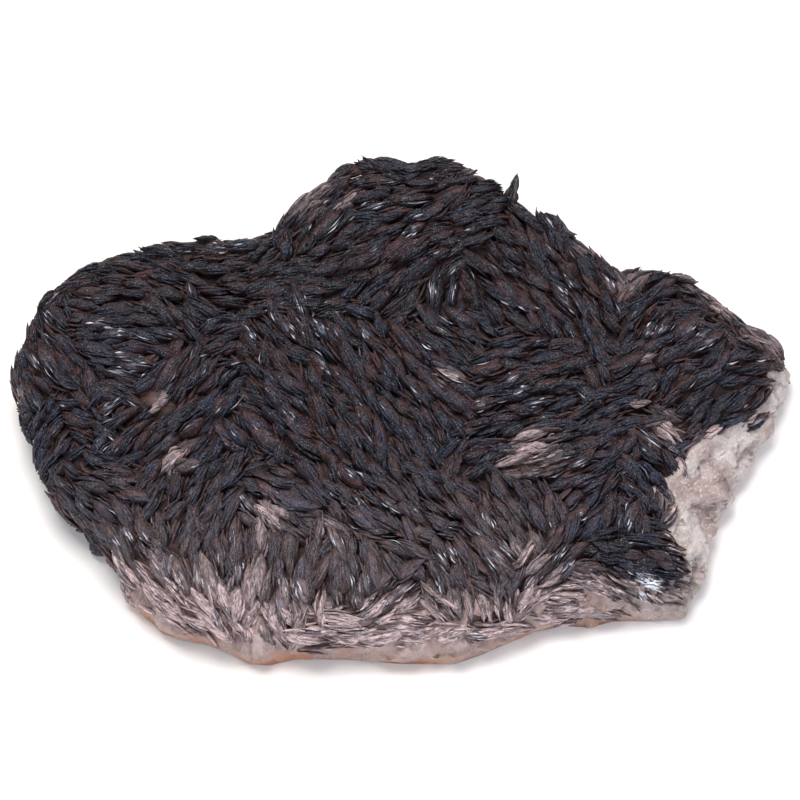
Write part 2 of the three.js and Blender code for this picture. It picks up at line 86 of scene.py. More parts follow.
# Packets of parallel blades on the display plane, in mm: across, up, heading of the crests in degrees
# anticlockwise from +X, and a tone letter where there is one.
PACKETS: dict[str, str] = {
    "left_lobe": """
        -79 31 -5, -68 34 -12, -60 38 -25, -60 31 -20, -84 28 50, -88 24 45 w, -77 27 -5, -67 27 -15,
        -58 27 -30, -55 22 -35, -52 27 -70, -74 23 -3, -63 23 -12, -90 22 -50 w, -88 14 -50 w, -92 9.5 -50 w,
        -88 8.5 -50 w, -95 8 -55, -93 4 -45, -88 4 -40, -84 4 -35, -81 9 -40 d, -78 16 -3, -72 16.5 -8 w,
        -64 16 -12, -67 13.5 -10, -70 11 -5 w, -66 9 -12 w, -70 7 -15 w, -70 3 -15, -72 2 -25, -77 4 -75,
        -59 12 -25, -58 6 65 b, -55 10 65, -52 8 60, -55 2 55, -60 -1 40 p, -72 -2 40 w, -70 -4.5 35 d,
        -86 20 -55, -92 16 -55, -84 14 -45, -80 20 -5, -76 12 -8, -72 31 -10, -86 32 20, -80 35 0,
        -70 19.5 -8, -57 17 -20, -60 8.5 40, -64 20 -15, -75 19.5 -5, -84 9 -50, -79 0 -40, -52 17 -60""",
    "left_flank": """
        -82 -1 -10, -80 -3.5 -25, -86 -3 50, -90 -5 50, -95 -7 45, -86 -7 45, -80 -6 -25 d, -79 -9.5 -30,
        -75 -5 -60, -64 -4 40, -67 -8 38, -65 -11 45, -72 -12 40, -57 -7 45, -52 -6 45, -60 -12 50,
        -55 -4 45, -90 -13 55, -88 -16 50, -84 -12 50, -76 -16 -15, -70 -17 -15, -82 -18 -35, -75 -21 -15,
        -70 -21.5 -15, -84 -21 -30, -62 -17 55, -67 -15 40, -57 -15 50 p, -53 -16 20 d, -60 -22 60,
        -55 -22 75, -83 -27 -45, -80 -30 -40, -78 -28 -40, -74 -31 -35, -76 -33 -40, -73 -28 -30,
        -68 -30 -50, -68 -33.5 -50 w, -64 -34 -45 w, -68 -37 -60 d, -63 -38 -40, -58 -33 -80 d,
        -62 -28 70 d, -56 -27 60 d, -53 -32 75, -69 -42 -45, -68.5 -45 -40 w, -64 -43 -45, -60 -42 -50,
        -57 -46 -50 w, -61 -48 -35 p, -54 -44 -60, -54 -50 -55, -57 -52 -55 p, -50 -44 -80 w, -92 -1 -45,
        -79 -24 -35, -66 -25 -15, -72 -36 -45, -64 -30 -60, -50 -36 85, -50 -11 45, -73 -8 -40, -88 -9 50""",
    "saddle": """
        -47 38 5 w, -42 39 8, -46 33 0, -47 27 -3, -43 24.5 0, -36 37 30, -35 33 25, -37 28 15, -28 32 3,
        -20 32 10, -26 29.5 3 d, -18 29 0 d, -30 26.5 8, -33 24 5, -37 22 15, -28.5 38 -85, -20 37 12 b,
        -52 34 -5, -52 30 -15, -42 30 3, -42 34.5 5, -41 27.5 3, -49 23 -25, -24 33 5, -32 29.5 8,
        -22 26.5 2, -52 38.5 0, -33 36.5 40, -25 35 20, -42 21 8""",
    "crown": """
        -24 42 60, -18 43 50 w, -28 46 70, -26 49 50, -17 53 40, -15 58 45, -8 60 -5, -2 59 -25,
        -5 55 -10, -14 50 40 p, -9 51 -5, -7 49 0 w, -9 47 5, -8 43 20, -3 46 15, -12 38 35, -6 39 32,
        -10 34 28, -5 32 35, -12 27 50, -6 25 50, -24 24 -65 w, -17 24 0, -17 22 0, 3 58 15, 10 61 5,
        12 58 15, 5 54 12, 15 55 28, 20 53 28, 23 54.5 25, 12 50 38, 3 50.5 0, 18 49 28, 4 47 20, 14 46 22,
        22 48 30, 3 42.5 30 w, 8 43 20, 23 44.5 22, 10 40 22, 4 37 30, 19 39 20, 14 37 25, 26 41 -45,
        30 43 -55, 32 47 -50, 37 45 -60, 40 40 -70, 34 38 -55, 28 36 -40, 24 32 -45, 5 33 40, 8 28 80 w,
        13 27 85 w, 18 29 -75, 3 25 60, 28 27 -40, 34 29 -40, 24 22 -55, 32 23 -45, 40 28 -60 w,
        42 24 -60 w, 46 36 -50, 48 28 -55, 46 22 -50, -14 45 45, -21 47 55, -1 51 0, 9 46.5 22,
        18 43 22, -3 42 25, 0 38 32, 9 36 30, 13 33 40, 19 34 -60, -1 29 45, 9 57 10, -2 55 -5, 36 34 -55,
        42 32 -60, 36 24 -50, 38 37 -60, 43 39 -60, -10 55 5, 18 58 25, -12 42 35, 28 32 -45, 38 19 -60""",
    "field": """
        -45 15.5 25, -43 13 20, -42 18.5 20, -37 16.5 -65 w, -33 17 -60, -27.5 17 -60 w, -24 12 -60,
        -20 18 -60 w, -19 9 -55 w, -15 6 -55 w, -15 16 -60, -9 17 -65 w, -12 10 -60, -6 14 -55,
        -43 9 15 d, -46 5 60, -42 3 55, -36 7 -50, -32 5 -50 b, -30 10 -60, -27 3 -45, -22 5 -55,
        -12 3 -55, -7 6 -60, -2 5 -60, -46 -3 50, -43 -2 60, -37 -2 -40, -31 -4 -45, -27 -5 -48 w,
        -36 -7 -40 b, -42 -8 -60 b, -26 -8 -45, -20 -3 -60, -14 -3 -60, -9 -5 -65, -3 -4 -70,
        -24 -12 -30, -46 -12 65, -40 -16 50, -30.5 -13 85, -30 -18 -15, -31 -21 -12, -22 -17 -50,
        -18 -12 -50, -12 -18 -50 w, -14 -10 -60, -4 -12 -60, -6 -18 -50, -17 -22 -55, -20 -22 -50,
        -47 -23 60, -42 -20 50, 11 16.5 -40 w, 8 13.5 -35 w, 10 14 -38, 14 11 -38, 12 8 -25, 13 5.5 -30 w,
        17 10 -50, 2 14 -55, 3 9 -55, 3 3 -50, 10 2 -50, 6 -16 -50, 3 -8 -65, 8 -10 -65, 11 -6 -60,
        -38 12 -60, -33 -11 -40, -47 0 55, -26 20 -62, -2 10 -58, -8 -11 -62, -25 -1 -50, -18 1 -58,
        -3 1 -62, -10 -1 -62, 5 -3 -58, 7 6 -45, -1 19 50, 6 20 -50, -2 -18 -58, 1 -13 -60, -10 -14 -60,
        -36 -22 -20, -26 -22 -35, -47 -17 60, -36 2 -48, -20 13 -60, -50 -20 55, 17 16 -45, 20 12 -45,
        6 0 -52, 14 -1 -50, -10 22 -20, -36 -17 20, -31 0 -45""",
    "mound": """
        27 14 20, 35 14 20, 36 11 15, 27 9 15, 22 7 15, 32 8 15, 42 12 15, 42 8 12, 28 5 25 w, 30 2 22 w,
        34 -1 25 w, 21 -1 25 w, 22 2 20, 42 4 12, 26 -4 20, 20 -6 20, 32 -3 10, 28 -7 20, 16 -8 25,
        36 -6 12, 45 -3 25, 47 -7 15, 33 -12 20 p, 25 -12 10, 22 -15 10, 15 -13 55, 14 -18 50, 20 -18 40,
        24 -18 -55, 40 -14 25, 44 -16 35 w, 46 -12 25, 33 -18 10 d, 38 -18 10, 45 -20 25, 49 12 -65,
        48 5 -70, 38 18 -60, 37 7 14, 36 3 18, 41 -1 18, 28 11.5 18, 22 10.5 20, 40 -9 15, 32 -9 18 p,
        28 -15 12 p, 37 -14 15 p, 49 0 15, 17 3 -30, 44 9 13, 20 -10 22, 30 19 -45, 47 17 -62""",
    "right_lobe": """
        52 34 -60, 53 29 -80 w, 58 28 55, 62 31 50, 64 27 45, 60 24 40, 67 27 40, 71 27.5 0 d, 71 23 0,
        76 24 -50, 81 22 -45 p, 60 21.5 55 w, 65 22 60, 53 13 -60, 51 6 -70, 57 18 55, 62 17 60 w,
        66 17 60 w, 72 17 40 w, 75 15.5 40 w, 77 14 40 w, 60 13 45, 60 10.5 20 p, 61 7 20 b, 68 12 40,
        73 9 20, 81 8 50 b, 83 15 -65, 67 6 50, 78 5 30 d, 89 14 -5, 90 10.5 0 w, 90 7.5 0, 90 4.5 -10,
        57 3 20, 57 0 15, 62 2 50, 67 0 50, 60 -1.5 20 p, 75 -3 40, 80 -1 35, 85 -1 30, 90 0 35,
        66 -4 -30, 56 -5.5 22, 63 -5.5 20, 53 -8 30, 67 -7 -30 p, 73 -7 35, 83 -6 35, 87 -5.5 25,
        53 24 -75, 53 19 -65, 57 8 20, 72 4 45, 73 13 40, 67 31 30, 76 19 -30, 79 11 45, 84 10 20,
        84 4 10, 72 -1 45, 78 -5 38, 56 32 -75, 62 -9 -30, 70 20 30, 57 13 50, 62 4 25, 52 -3 20,
        70 -11.5 15, 74 -10 30, 79 -8.5 28, 70 -13.5 -25""",
    "corner": """
        62 -10 -40 w, 68 -12 -28 w, 56 -12 45, 53 -14 40, 62 -14 -45, 67 -15 -40, 59 -17 -45, 63 -18 -40,
        57 -21 -45, 52 -22 60, 52 -29 70, 56 -29 75 w, 59 -31 85 d, 61 -32 80, 62 -26 -40 d, 65 -27 55,
        63 -31 -10, 66 -34 0 d, 66 -36.5 0, 65 -38.5 -3, 55 -36 -10 d, 53 -38 -15, 52 -40 -5, 68 -41 -8,
        62 -40 -5, 60 -42 -5, 68 -43.5 -5 b, 55 -44 -25, 57 -46 -35 d, 53 -47 -35, 55 -49 -40, 64 -47 -10 d,
        64 -50 -30 p, 66 -48.5 -30 p, 62 -45 -25 w, 59.5 -44 -25 w, 64 -46.5 -25 w, 60 -49 -40 w,
        60 -25 -42, 66 -22 -35, 50 -17 35, 48 -25 50, 50 -34 20, 58 -38 -5, 61 -35 -5, 49 -45 -30,
        51 -50 -35, 69 -47 -15, 57 -42 -15, 66 -30 20, 48 -48 -30, 53 -25 60""",
    "front": """
        3 -27 -55, 8 -27 -40 d, 13 -28 -60, 10 -31 -30, 2 -33 -50 b, 6 -33 -40, 3 -37 -20, 7 -39.5 -15,
        9 -37 -60 b, 13 -38 -70 w, 18 -33 -55, 16 -38 -70, 22 -30 -60 w, 21 -33 -60, 25 -28 -60,
        29 -28 -65, 34 -30 -65, 38 -31 -75, 23 -36 -55, 22 -40 -55 w, 24 -39 -55 w, 25 -42 -55 d,
        31 -38 50 p, 34 -40 50 p, 29 -45 55, 33 -45 55 w, 36 -42 50, 40 -38 50 w, 38 -45 45, 41 -43 40,
        33 -49 45 d, 31 -53 40 b, 35 -50 35, 30 -49 50, 40 -50 5 d, 40 -52 -5, 38 -48 20, 46 -46 -30 p,
        46 -41 5 d, 47 -37 -5, 45 -29 35 w, 43 -32 60 b, 47 -32 40 b, 20 -46 -40, 15 -45 -60, 12 -44 -60,
        17 -50 -80, 21 -51 -80, 24 -50 -75, 27 -52 -70, 13 -50 -70, 10 -47 -75 w, 7 -49 -70, 8 -52 -40,
        3 -43 50, 1 -47 50 w, 2 -51 45 p, 3 -55 0 p, 5 -21 -55, 12 -22 -50, 18 -23 -50, 24 -23 -58,
        30 -23 -60, 37 -24 -70, 43 -25 40, 29 -33 -62, 34 -35 -70, 28 -36 -50, 17 -28 -62, 18 -42 -60,
        38 -36 60, 26 -46 -55, 43 -37 30, 44 -49 -15, 0 -23 -52, 26 -32 -60, 43 -46 10, 9 -43 -60""",
    "front_left": """
        -48 -27 60, -38 -26 -55 w, -37 -30 -40, -32 -29 -40 p, -26 -27 -30 b, -27 -33 -40, -41.5 -34 85 w,
        -40 -43 88 w, -36 -44 88 p, -46 -45 -80 w, -45 -55 -65 w, -34 -35 85 p, -30 -36 88 d, -27 -37 85 d,
        -30 -43 85, -33 -46 80 d, -28 -47 -80 w, -25 -43 -88 b, -22 -38 75, -19.5 -43 70, -16 -45 85,
        -15 -36 -75 w, -12.5 -44 -80 w, -12 -37 85, -9 -38 -75, -8.5 -46 -85 w, -16 -48 -70 d, -23 -47 -75,
        -25 -47 -75 w, -29 -52 -80 w, -25 -54 -65 w, -32 -53 -70 d, -37 -53 75 p, -40 -51 75 p,
        -15 -53 5, -15 -54.5 3 b, -6 -52 42, -4 -46 45, -3 -50 45 w, 0 -53 45 p, -5 -33 -15, -9 -31 -25,
        -11 -27 -50, -8 -29 -50, -10 -25 -50 w, -3 -26 -50 w, -4 -30 -40, -1 -36 -30, -6 -38 -75,
        -20 -33 85, -44 -38 -85, -44 -49 -70, -20 -53 -60, -36 -38 85, -46 -33 80, -42 -28 60, -32 -24 -25,
        -21 -28 -45, -15 -31 -50, -2 -41 -60, -11 -49 -75, -36 -48 85, -41 -55 -60, -48 -51 -60,
        -22 -24 -45, -14 -24 -50, -34 -32 -60, -16 -40 80, -4 -22 -55, -50 -40 -85, -9 -54 20""",
    "front_rim": """
        -61 -50.5 -35 p, -56 -54 -30 p, -50 -56.5 -15 p, -45 -58.5 -30 p, -38 -59 -80 p, -34 -59 -75 w,
        -29 -58.5 -70 p, -25 -56 80 p, -24 -58.7 -10 p, -19 -57.5 3 w, -15 -59 0 p, -11 -58.5 -5 p,
        -8 -59.3 8 p, -4 -58.5 12 p, 1 -56.5 5 w, 4 -58 8 p, 6 -59 5 p, 10 -58.3 30 p, 12 -59 20 p,
        14 -57 8 p, 18 -58.8 -8 w, 22 -58.3 -3 p, 25 -59 -8 p, 29 -57.5 -12 p, 33 -55.8 -5 p,
        38 -55.3 5 p, 44 -54 -5 p, 50 -53.5 -10 p""",
}

# The rim of the specimen, anticlockwise from the right-hand tip, in mm: across and up the display
# plane, and the height at which the rim turns out of sight.
RIM: Points = (
    (97.5, 9, 11), (96.5, 13, 14), (92, 16.5, 16), (88, 18, 18), (85, 20.5, 20), (82, 23.3, 22),
    (79.5, 24.5, 23), (77, 27.5, 24), (73, 30, 25), (69, 32.3, 25), (60, 33, 26), (56, 32.3, 26),
    (53, 35.5, 28), (50, 38, 29), (47, 40.3, 29), (44, 41, 30), (42, 44, 31), (40.5, 47, 31),
    (37, 48.3, 32), (34.5, 47.2, 32), (31, 50.5, 33), (27, 52, 34), (25, 55.5, 34), (20, 58, 35),
    (16, 61, 36), (10, 62.5, 36), (0, 61.8, 36), (-10, 61.8, 36), (-16, 60, 35), (-18.5, 56, 34),
    (-24, 53, 33), (-28, 50, 32), (-31, 45.5, 30), (-33, 42.8, 28), (-42, 41.2, 26), (-52, 40.4, 26),
    (-60, 41, 27), (-66, 38.5, 26), (-72, 37.3, 26), (-77, 35, 25), (-82, 31.5, 24), (-89, 26.5, 22),
    (-93, 20, 20), (-95, 14, 18), (-97.5, 8, 17), (-98, 2, 15), (-96, -4, 14), (-94.5, -8, 14),
    (-92.7, -11, 14), (-92, -16, 13), (-89, -21.5, 13), (-85, -28, 12), (-80, -32, 12),
    (-76, -36, 12), (-72, -40, 12), (-71.5, -44, 10), (-67, -48, 8), (-64, -52, 6), (-60, -57, 4),
    (-55, -59.2, 3), (-49, -60.2, 3), (-43, -62.6, 3), (-38, -65, 3), (-33, -65.4, 3),
    (-26, -63.8, 3), (-12, -64, 3), (0, -65, 3), (14, -65, 3), (20, -63, 3), (27, -60, 3),
    (34, -57, 3), (42, -55.6, 3), (48, -56, 3), (54, -54.5, 3), (64, -54.3, 3), (71.5, -53.8, 3),
    (73, -49, 3), (75.2, -44.5, 3), (76, -38, 3), (79, -32, 3), (82, -27, 3), (85.5, -20.5, 3),
    (90, -13, 3), (93.5, -8, 4), (95.3, -3, 5), (96, 3, 8),
)
COVERED_POINTS = 56  # of the rim, from the right-hand tip round the back to the left front

# Where the crust stops short of the rim and the stone shows, along the front and the right.
CRUST_EDGE: Points = (
    (-67, -47.5, 10), (-60, -51, 12), (-52, -54.5, 13), (-43, -57, 13), (-33, -58, 13),
    (-22, -58.8, 13), (-10, -58.5, 13), (0, -56.5, 14), (12, -56, 14), (20, -56.2, 14),
    (28, -57.2, 8), (35, -54.4, 7), (45, -52.3, 8), (55, -51, 9), (62, -51.5, 8), (68, -50.5, 9),
    (70, -46, 13), (70.5, -41, 15), (68, -37, 17), (66, -30, 18), (68, -23, 18), (71, -16, 18),
    (73, -11, 18), (79, -9, 16), (85, -9, 13), (91, -5.5, 10), (95, -1, 8), (96, 4, 9),
)

# Deep gaps between the packets: across, up and radius.
GAPS: Points = (
    (-60, 3, 3.5), (-81, 8, 2.2), (-18, 3, 2), (-38, -12, 2.2), (-50, -9, 2.5), (-41, 11, 2),
    (-15, 30, 2.2), (13, 43, 2.2), (22, 37, 2), (26, 30, 2), (32, 34, 2), (41, 34, 1.8), (10, 23, 2.2),
    (70, 26, 2), (62, 13, 1.8), (80, 4, 2), (-82, -15.5, 2), (-71, -15, 2), (-60, -29, 2.5),
    (-53, -38, 2.2), (-37.5, -32, 2), (-28, -11, 2), (38, -17, 2), (22, -19, 2.2), (52, -18, 2),
    (49, -35, 2), (51, -41, 2), (-49, 17, 1.8), (0, 22, 1.8), (45, -24, 2),
)

# Places where pale pinkish stone dusts the blades and fills between them: across, up and radius.
PALE_PATCHES: Points = (
    (33, -13, 6.5), (-32, -29, 4), (-17, -33, 3.5), (67, -7, 4), (57, 30.5, 3), (-57, -15, 4),
    (47, -47, 4), (31, -38, 4), (-24, 52, 5), (20, 59.5, 4), (47, 40, 3), (74, 30, 3), (81, 23, 3),
    (-97, 1, 3.5), (96, 12, 5), (90, 16, 3.5), (96, 4, 3), (0, -51, 5), (-25, -54, 5), (-40, -49, 4),
    (-50, -50, 5), (12, 5, 3), (-60, 0, 2.5), (-20, 55, 3), (57, 31, 3), (66, -49.5, 2.5),
)

# Crusts of small bright barite grains on the blades: across, up and radius.
FROST: Points = ((60.6, -44.6, 1.5), (62.8, -45.8, 1.6), (59.7, -49.2, 1.3))

# The bundle that stands clear of the rim: across, up, height and heading.
SPIKE: tuple[float, float, float, float] = (28.0, 52.9, 34.5, 77)


def linear(hex_colour: str) -> tuple[float, float, float, float]:
    """Turns an sRGB hex colour to linear.

    Args:
        hex_colour: a colour such as "#8899aa".

    Returns:
        Linear red, green, blue and an alpha of 1.
    """
    channels = [int(hex_colour[i : i + 2], 16) / 255 for i in (1, 3, 5)]
    values = [c / 12.92 if c <= 0.04045 else ((c + 0.055) / 1.055) ** 2.4 for c in channels]
    return (values[0], values[1], values[2], 1.0)


def to_scale(size_mm: float) -> float:
    """Turns the size of a pattern's features to a texture's scale, over coordinates in metres."""
    return 1 / (size_mm * MM)


def unit(vectors: Array) -> Array:
    """Scales each row to a length of 1."""
    return vectors / np.maximum(np.linalg.norm(vectors, axis=-1, keepdims=True), 1e-9)


# ---- The specimen's surfaces ---------------------------------------------------------------------


@dataclass(frozen=True)
class DisplayPlane:
    """The plane square to the line of sight, on which the specimen is laid out."""

    elevation_deg: float = 60.0
    up_at_origin: float = 9.0

    @property
    def upward(self) -> Array:
        """The direction that points up the plane."""
        angle = math.radians(self.elevation_deg)
        return np.array([0.0, math.sin(angle), math.cos(angle)])

    @property
    def sight(self) -> Array:
        """The direction from the specimen to the viewer."""
        return np.cross([1.0, 0, 0], self.upward)

    def in_plan(self, points: Points) -> Array:
        """Lays points given as across, up and height out in space.

        Args:
            points: across, up and height of each.

        Returns:
            x, y and z of each.
        """
        given = np.array(points, dtype=float)
        _, rise_y, rise_z = self.upward
        y = (given[:, 1] + self.up_at_origin - given[:, 2] * rise_z) / rise_y
        return np.column_stack([given[:, 0], y, given[:, 2]])

    def up_of(self, points: Array) -> Array:
        """How far up the plane each point in space lies."""
        return points @ self.upward - self.up_at_origin

    def line(self, heading_deg: float) -> Array:
        """The direction in space of a heading on the plane."""
        turn = math.radians(heading_deg)
        return np.array([math.cos(turn), 0.0, 0.0]) + self.upward * math.sin(turn)


@dataclass(frozen=True)
class Lobe:
    """A swelling of the crust, in plan."""

    x: float
    y: float
    wide: float
    deep: float
    high: float


# The left lobe, the crown, the field, the right lobe, the corner and the shoulder.
LOBES: tuple[Lobe, ...] = (
    Lobe(-72, 12, 24, 26, 6),
    Lobe(5, 44, 32, 22, 14),
    Lobe(-15, -5, 34, 30, 6),
    Lobe(72, 16, 18, 18, 5),
    Lobe(50, -25, 22, 18, 3),
    Lobe(30, 2, 20, 14, 4),
)


def quarter_round(depth: Array, reach: float) -> Array:
    """Rises from 0 at the rim to 1 where the rounding ends."""
    left = 1 - np.clip(depth / reach, 0, 1)
    return np.sqrt(1 - left * left)


def wave(x: Array, y: Array, form: Wave) -> Array:
    """A wave over plan points, from its turns in radians a mm across and back, and where it starts."""
    return np.sin(form[0] * x + form[1] * y + form[2])


def to_segment(a: Array, b: Array, x: Array, y: Array) -> tuple[Array, Array]:
    """Measures plan points against a straight piece of an outline.

    Args:
        a: the piece's start.
        b: its end.
        x: plan positions.
        y: plan positions.

    Returns:
        How far along the piece each point's nearest place is, from 0 to 1, and the distance to it.
    """
    ex, ey = b[0] - a[0], b[1] - a[1]
    share = np.clip(((x - a[0]) * ex + (y - a[1]) * ey) / (ex * ex + ey * ey), 0, 1)
    return share, np.hypot(x - a[0] - share * ex, y - a[1] - share * ey)


def depth_inside(outline: Array, x: Array, y: Array) -> tuple[Array, Array]:
    """Measures plan points against a closed outline.

    Args:
        outline: x, y and height of the outline's points.
        x: plan positions.
        y: plan positions.

    Returns:
        Each point's distance to the outline, positive inside, and the outline's height there.
    """
    x, y = np.atleast_1d(x).astype(float), np.atleast_1d(y).astype(float)
    near, height, inside = np.full(x.shape, np.inf), np.zeros(x.shape), np.zeros(x.shape, bool)
    for a, b in zip(outline, np.roll(outline, -1, axis=0)):
        share, distance = to_segment(a, b, x, y)
        closer = distance < near
        near = np.where(closer, distance, near)
        height = np.where(closer, a[2] + share * (b[2] - a[2]), height)
        if a[1] != b[1]:
            crossing = a[0] + (y - a[1]) * (b[0] - a[0]) / (b[1] - a[1])
            inside ^= ((a[1] > y) != (b[1] > y)) & (x < crossing)
    return np.where(inside, near, -near), height


def nearness(spots: Points, x: Array, up: Array) -> Array:
    """How far display-plane places are from the nearest of some round spots, in radii."""
    given = np.array(spots)
    return np.min(np.hypot(given[:, 0] - x[:, None], given[:, 1] - up[:, None]) / given[:, 2], axis=1)


def distance_to_line(line: Array, x: Array, y: Array) -> Array:
    """How far plan points are from a broken line."""
    return np.min([to_segment(a, b, x, y)[1] for a, b in zip(line[:-1], line[1:])], axis=0)


@dataclass
class Relief:
    """The envelope of the blades' tips and the top of the stone, in mm."""

    display: DisplayPlane = field(default_factory=DisplayPlane)
    crest_base: float = 24.0
    crest_rounding: float = 15.0
    rim_drop: float = 3.0
    crust_foot: float = 5.0
    crust_lap: float = 2.2  # how far blades lie out over the stone in front of the crust's edge
    stone_edge_height: float = 4.0
    stone_rise: float = 13.0
    stone_rounding: float = 15.0
    stone_tuck: float = 6.0
    tuck_points: int = 4
    broad_knobs: float = 1.3
    broad_waves: tuple[Wave, Wave] = ((0.34, 0.0, 1.1), (0.0, 0.29, -0.4))
    small_knobs: float = 0.9
    small_wave: Wave = (0.61, -0.47, 0.0)
    slope_step: float = 1.5  # between the places that a slope is measured at
    steepest: float = 2.0
    search_reach: float = 80.0
    search_step: float = 0.5

    def __post_init__(self) -> None:
        """Lays the outlines out in plan."""
        self.rim = self.display.in_plan(RIM)
        self.outline = np.array(RIM, dtype=float)
        self.crust_rim = np.vstack([self.rim[:COVERED_POINTS], self.display.in_plan(CRUST_EDGE)])
        self.apron = self.crust_rim.copy()
        front = self.apron[COVERED_POINTS:, :2]
        front += self.crust_lap * unit(front)
        index = np.arange(len(self.rim))
        tuck = self.stone_tuck * np.clip(
            np.minimum(index, COVERED_POINTS - index) / self.tuck_points, 0, 1
        )
        share = 1 - tuck / np.hypot(self.rim[:, 0], self.rim[:, 1])
        self.stone_rim = self.rim.copy()
        self.stone_rim[:, :2] *= share[:, None]
        self.stone_rim[:, 2] = self.stone_edge_height

    def crest(self, x: Array, y: Array) -> Array:
        """Height of the blades' tips above plan points.

        Args:
            x: plan positions.
            y: plan positions.

        Returns:
            The height above each.
        """
        depth, height = depth_inside(self.crust_rim, x, y)
        swell = sum(
            lobe.high * np.exp(-(((x - lobe.x) / lobe.wide) ** 2) - ((y - lobe.y) / lobe.deep) ** 2)
            for lobe in LOBES
        )
        edge = height - self.rim_drop
        return edge + (self.crest_base + swell - edge) * quarter_round(depth, self.crest_rounding)

    def stone_top(self, x: Array, y: Array) -> Array:
        """Height of the stone's top above plan points.

        Args:
            x: plan positions.
            y: plan positions.

        Returns:
            The height above each.
        """
        depth, _ = depth_inside(self.stone_rim, x, y)
        first, second = self.broad_waves
        knobs = self.broad_knobs * wave(x, y, first) * wave(x, y, second)
        knobs += self.small_knobs * wave(x, y, self.small_wave)
        return self.stone_edge_height + (self.stone_rise + knobs) * quarter_round(depth, self.stone_rounding)

    def outward(self, x: Array, y: Array) -> Array:
        """The outward direction of the envelope above plan points.

        Args:
            x: plan positions.
            y: plan positions.

        Returns:
            A direction above each.
        """
        step = self.slope_step
        slope_x = (self.crest(x + step, y) - self.crest(x - step, y)) / (2 * step)
        slope_y = (self.crest(x, y + step) - self.crest(x, y - step)) / (2 * step)
        bound_x, bound_y = (-np.clip(s, -self.steepest, self.steepest) for s in (slope_x, slope_y))
        return unit(np.column_stack([bound_x, bound_y, np.ones_like(bound_x)]))

    def in_sight(self, across: float, up: float) -> Array:
        """Finds where the line of sight through a display-plane point first meets the crust or the stone.

        Args:
            across: position across the plane.
            up: position up the plane.

        Returns:
            The point in space, or the one that the line passes most closely.
        """
        y = np.arange(-self.search_reach, self.search_reach, self.search_step)
        x = np.full(y.shape, float(across))
        depth, _ = depth_inside(self.crust_rim, x, y)
        below, _ = depth_inside(self.stone_rim, x, y)
        height = np.where(depth > 0, self.crest(x, y), self.stone_top(x, y))
        above = self.display.up_of(np.column_stack([x, y, height])) - up
        over = np.where(np.maximum(depth, below) > 0, above, -np.inf)
        hits = np.flatnonzero(over > 0)
        k = int(hits[0]) if len(hits) else int(np.argmax(over))
        return np.array([across, y[k], height[k]])


# ---- Blades --------------------------------------------------------------------------------------


class Habit(Enum):
    """How the outline of a blade ends: its sharpness and its share of the length.

    A body is the thick blade that carries a spindle's ridges.
    """

    LENS = (2.0, 1.0)
    FULL = (3.0, 1.0)
    NARROW = (1.5, 0.9)
    CHISEL = (3.6, 0.86)
    BROKEN = (2.4, 0.7)
    BODY = (2.6, 1.0)


HABIT_ODDS = {Habit.LENS: 5, Habit.FULL: 4, Habit.NARROW: 3, Habit.CHISEL: 2, Habit.BROKEN: 2}


@dataclass
class BladeShape:
    """One blade of unit size as arrays: along X, up Z, its faces along Y."""

    points: Array
    faces: list[tuple[int, ...]]

    SEGMENTS = 10
    BURIED = 0.55  # of the height above the middle, for the half that is rooted in the crust
    BEVEL = 0.14
    ROUNDING = ((0.13, 0.55), (0.2, 1.0))  # a body's two bevels: inset, and share of its thickness
    THINNEST = 0.25  # a face's ends, as a share of its middle's thickness
    TAPER = 2
    BODY_TAPER = 3
    WOBBLE = 0.07
    WOBBLY = (0.02, 0.99)  # the heights that wobble, which leaves the ends and the crest
    BREAK = 0.35  # where a broken blade ends, as a share of its half-length
    STUB = 0.25  # what is left of the length beyond the break
    BREAK_JITTER = 0.05

    @classmethod
    def grown(cls, habit: Habit, rng: np.random.Generator) -> "BladeShape":
        """Shapes a blade from a disc: a lens outline, a bevelled rim and two faces that thin out endways.

        Args:
            habit: how its outline ends.
            rng: the source of small irregularities.

        Returns:
            The blade's arrays.
        """
        sharpness, length = habit.value
        mesh = bmesh.new()
        bmesh.ops.create_circle(mesh, cap_ends=True, segments=cls.SEGMENTS, radius=1.0)
        for v in mesh.verts:
            height = max(1 - abs(v.co.x) ** sharpness, 0.0)
            if cls.WOBBLY[0] < height < cls.WOBBLY[1]:
                height *= 1 + rng.uniform(-cls.WOBBLE, cls.WOBBLE)
            if v.co.y < 0:
                height *= -cls.BURIED
            v.co = Vector((v.co.x * length, height, 0))
            if habit is Habit.BROKEN and v.co.x > cls.BREAK:
                stub = cls.STUB * (v.co.x - cls.BREAK)
                v.co.x = cls.BREAK + stub + rng.uniform(-cls.BREAK_JITTER, cls.BREAK_JITTER)
        face = mesh.faces[:]
        solid = habit is Habit.BODY
        taper = cls.BODY_TAPER if solid else cls.TAPER
        for inset, rise in cls.ROUNDING if solid else ((cls.BEVEL, 1.0),):
            bmesh.ops.inset_individual(mesh, faces=face, thickness=inset, use_even_offset=False)
            for v in face[0].verts:
                v.co.z = 0.5 * rise * max(cls.THINNEST, 1 - abs(v.co.x) ** taper)
        around = mesh.verts[:] + mesh.edges[:] + mesh.faces[:]
        bmesh.ops.mirror(mesh, geom=around, matrix=Matrix(), merge_dist=1e-4, axis="Z")
        bmesh.ops.recalc_face_normals(mesh, faces=mesh.faces[:])
        mesh.verts.index_update()
        points = np.array([(v.co.x, v.co.z, v.co.y) for v in mesh.verts])
        faces = [tuple(reversed([v.index for v in f.verts])) for f in mesh.faces]
        mesh.free()
        return cls(points, faces)


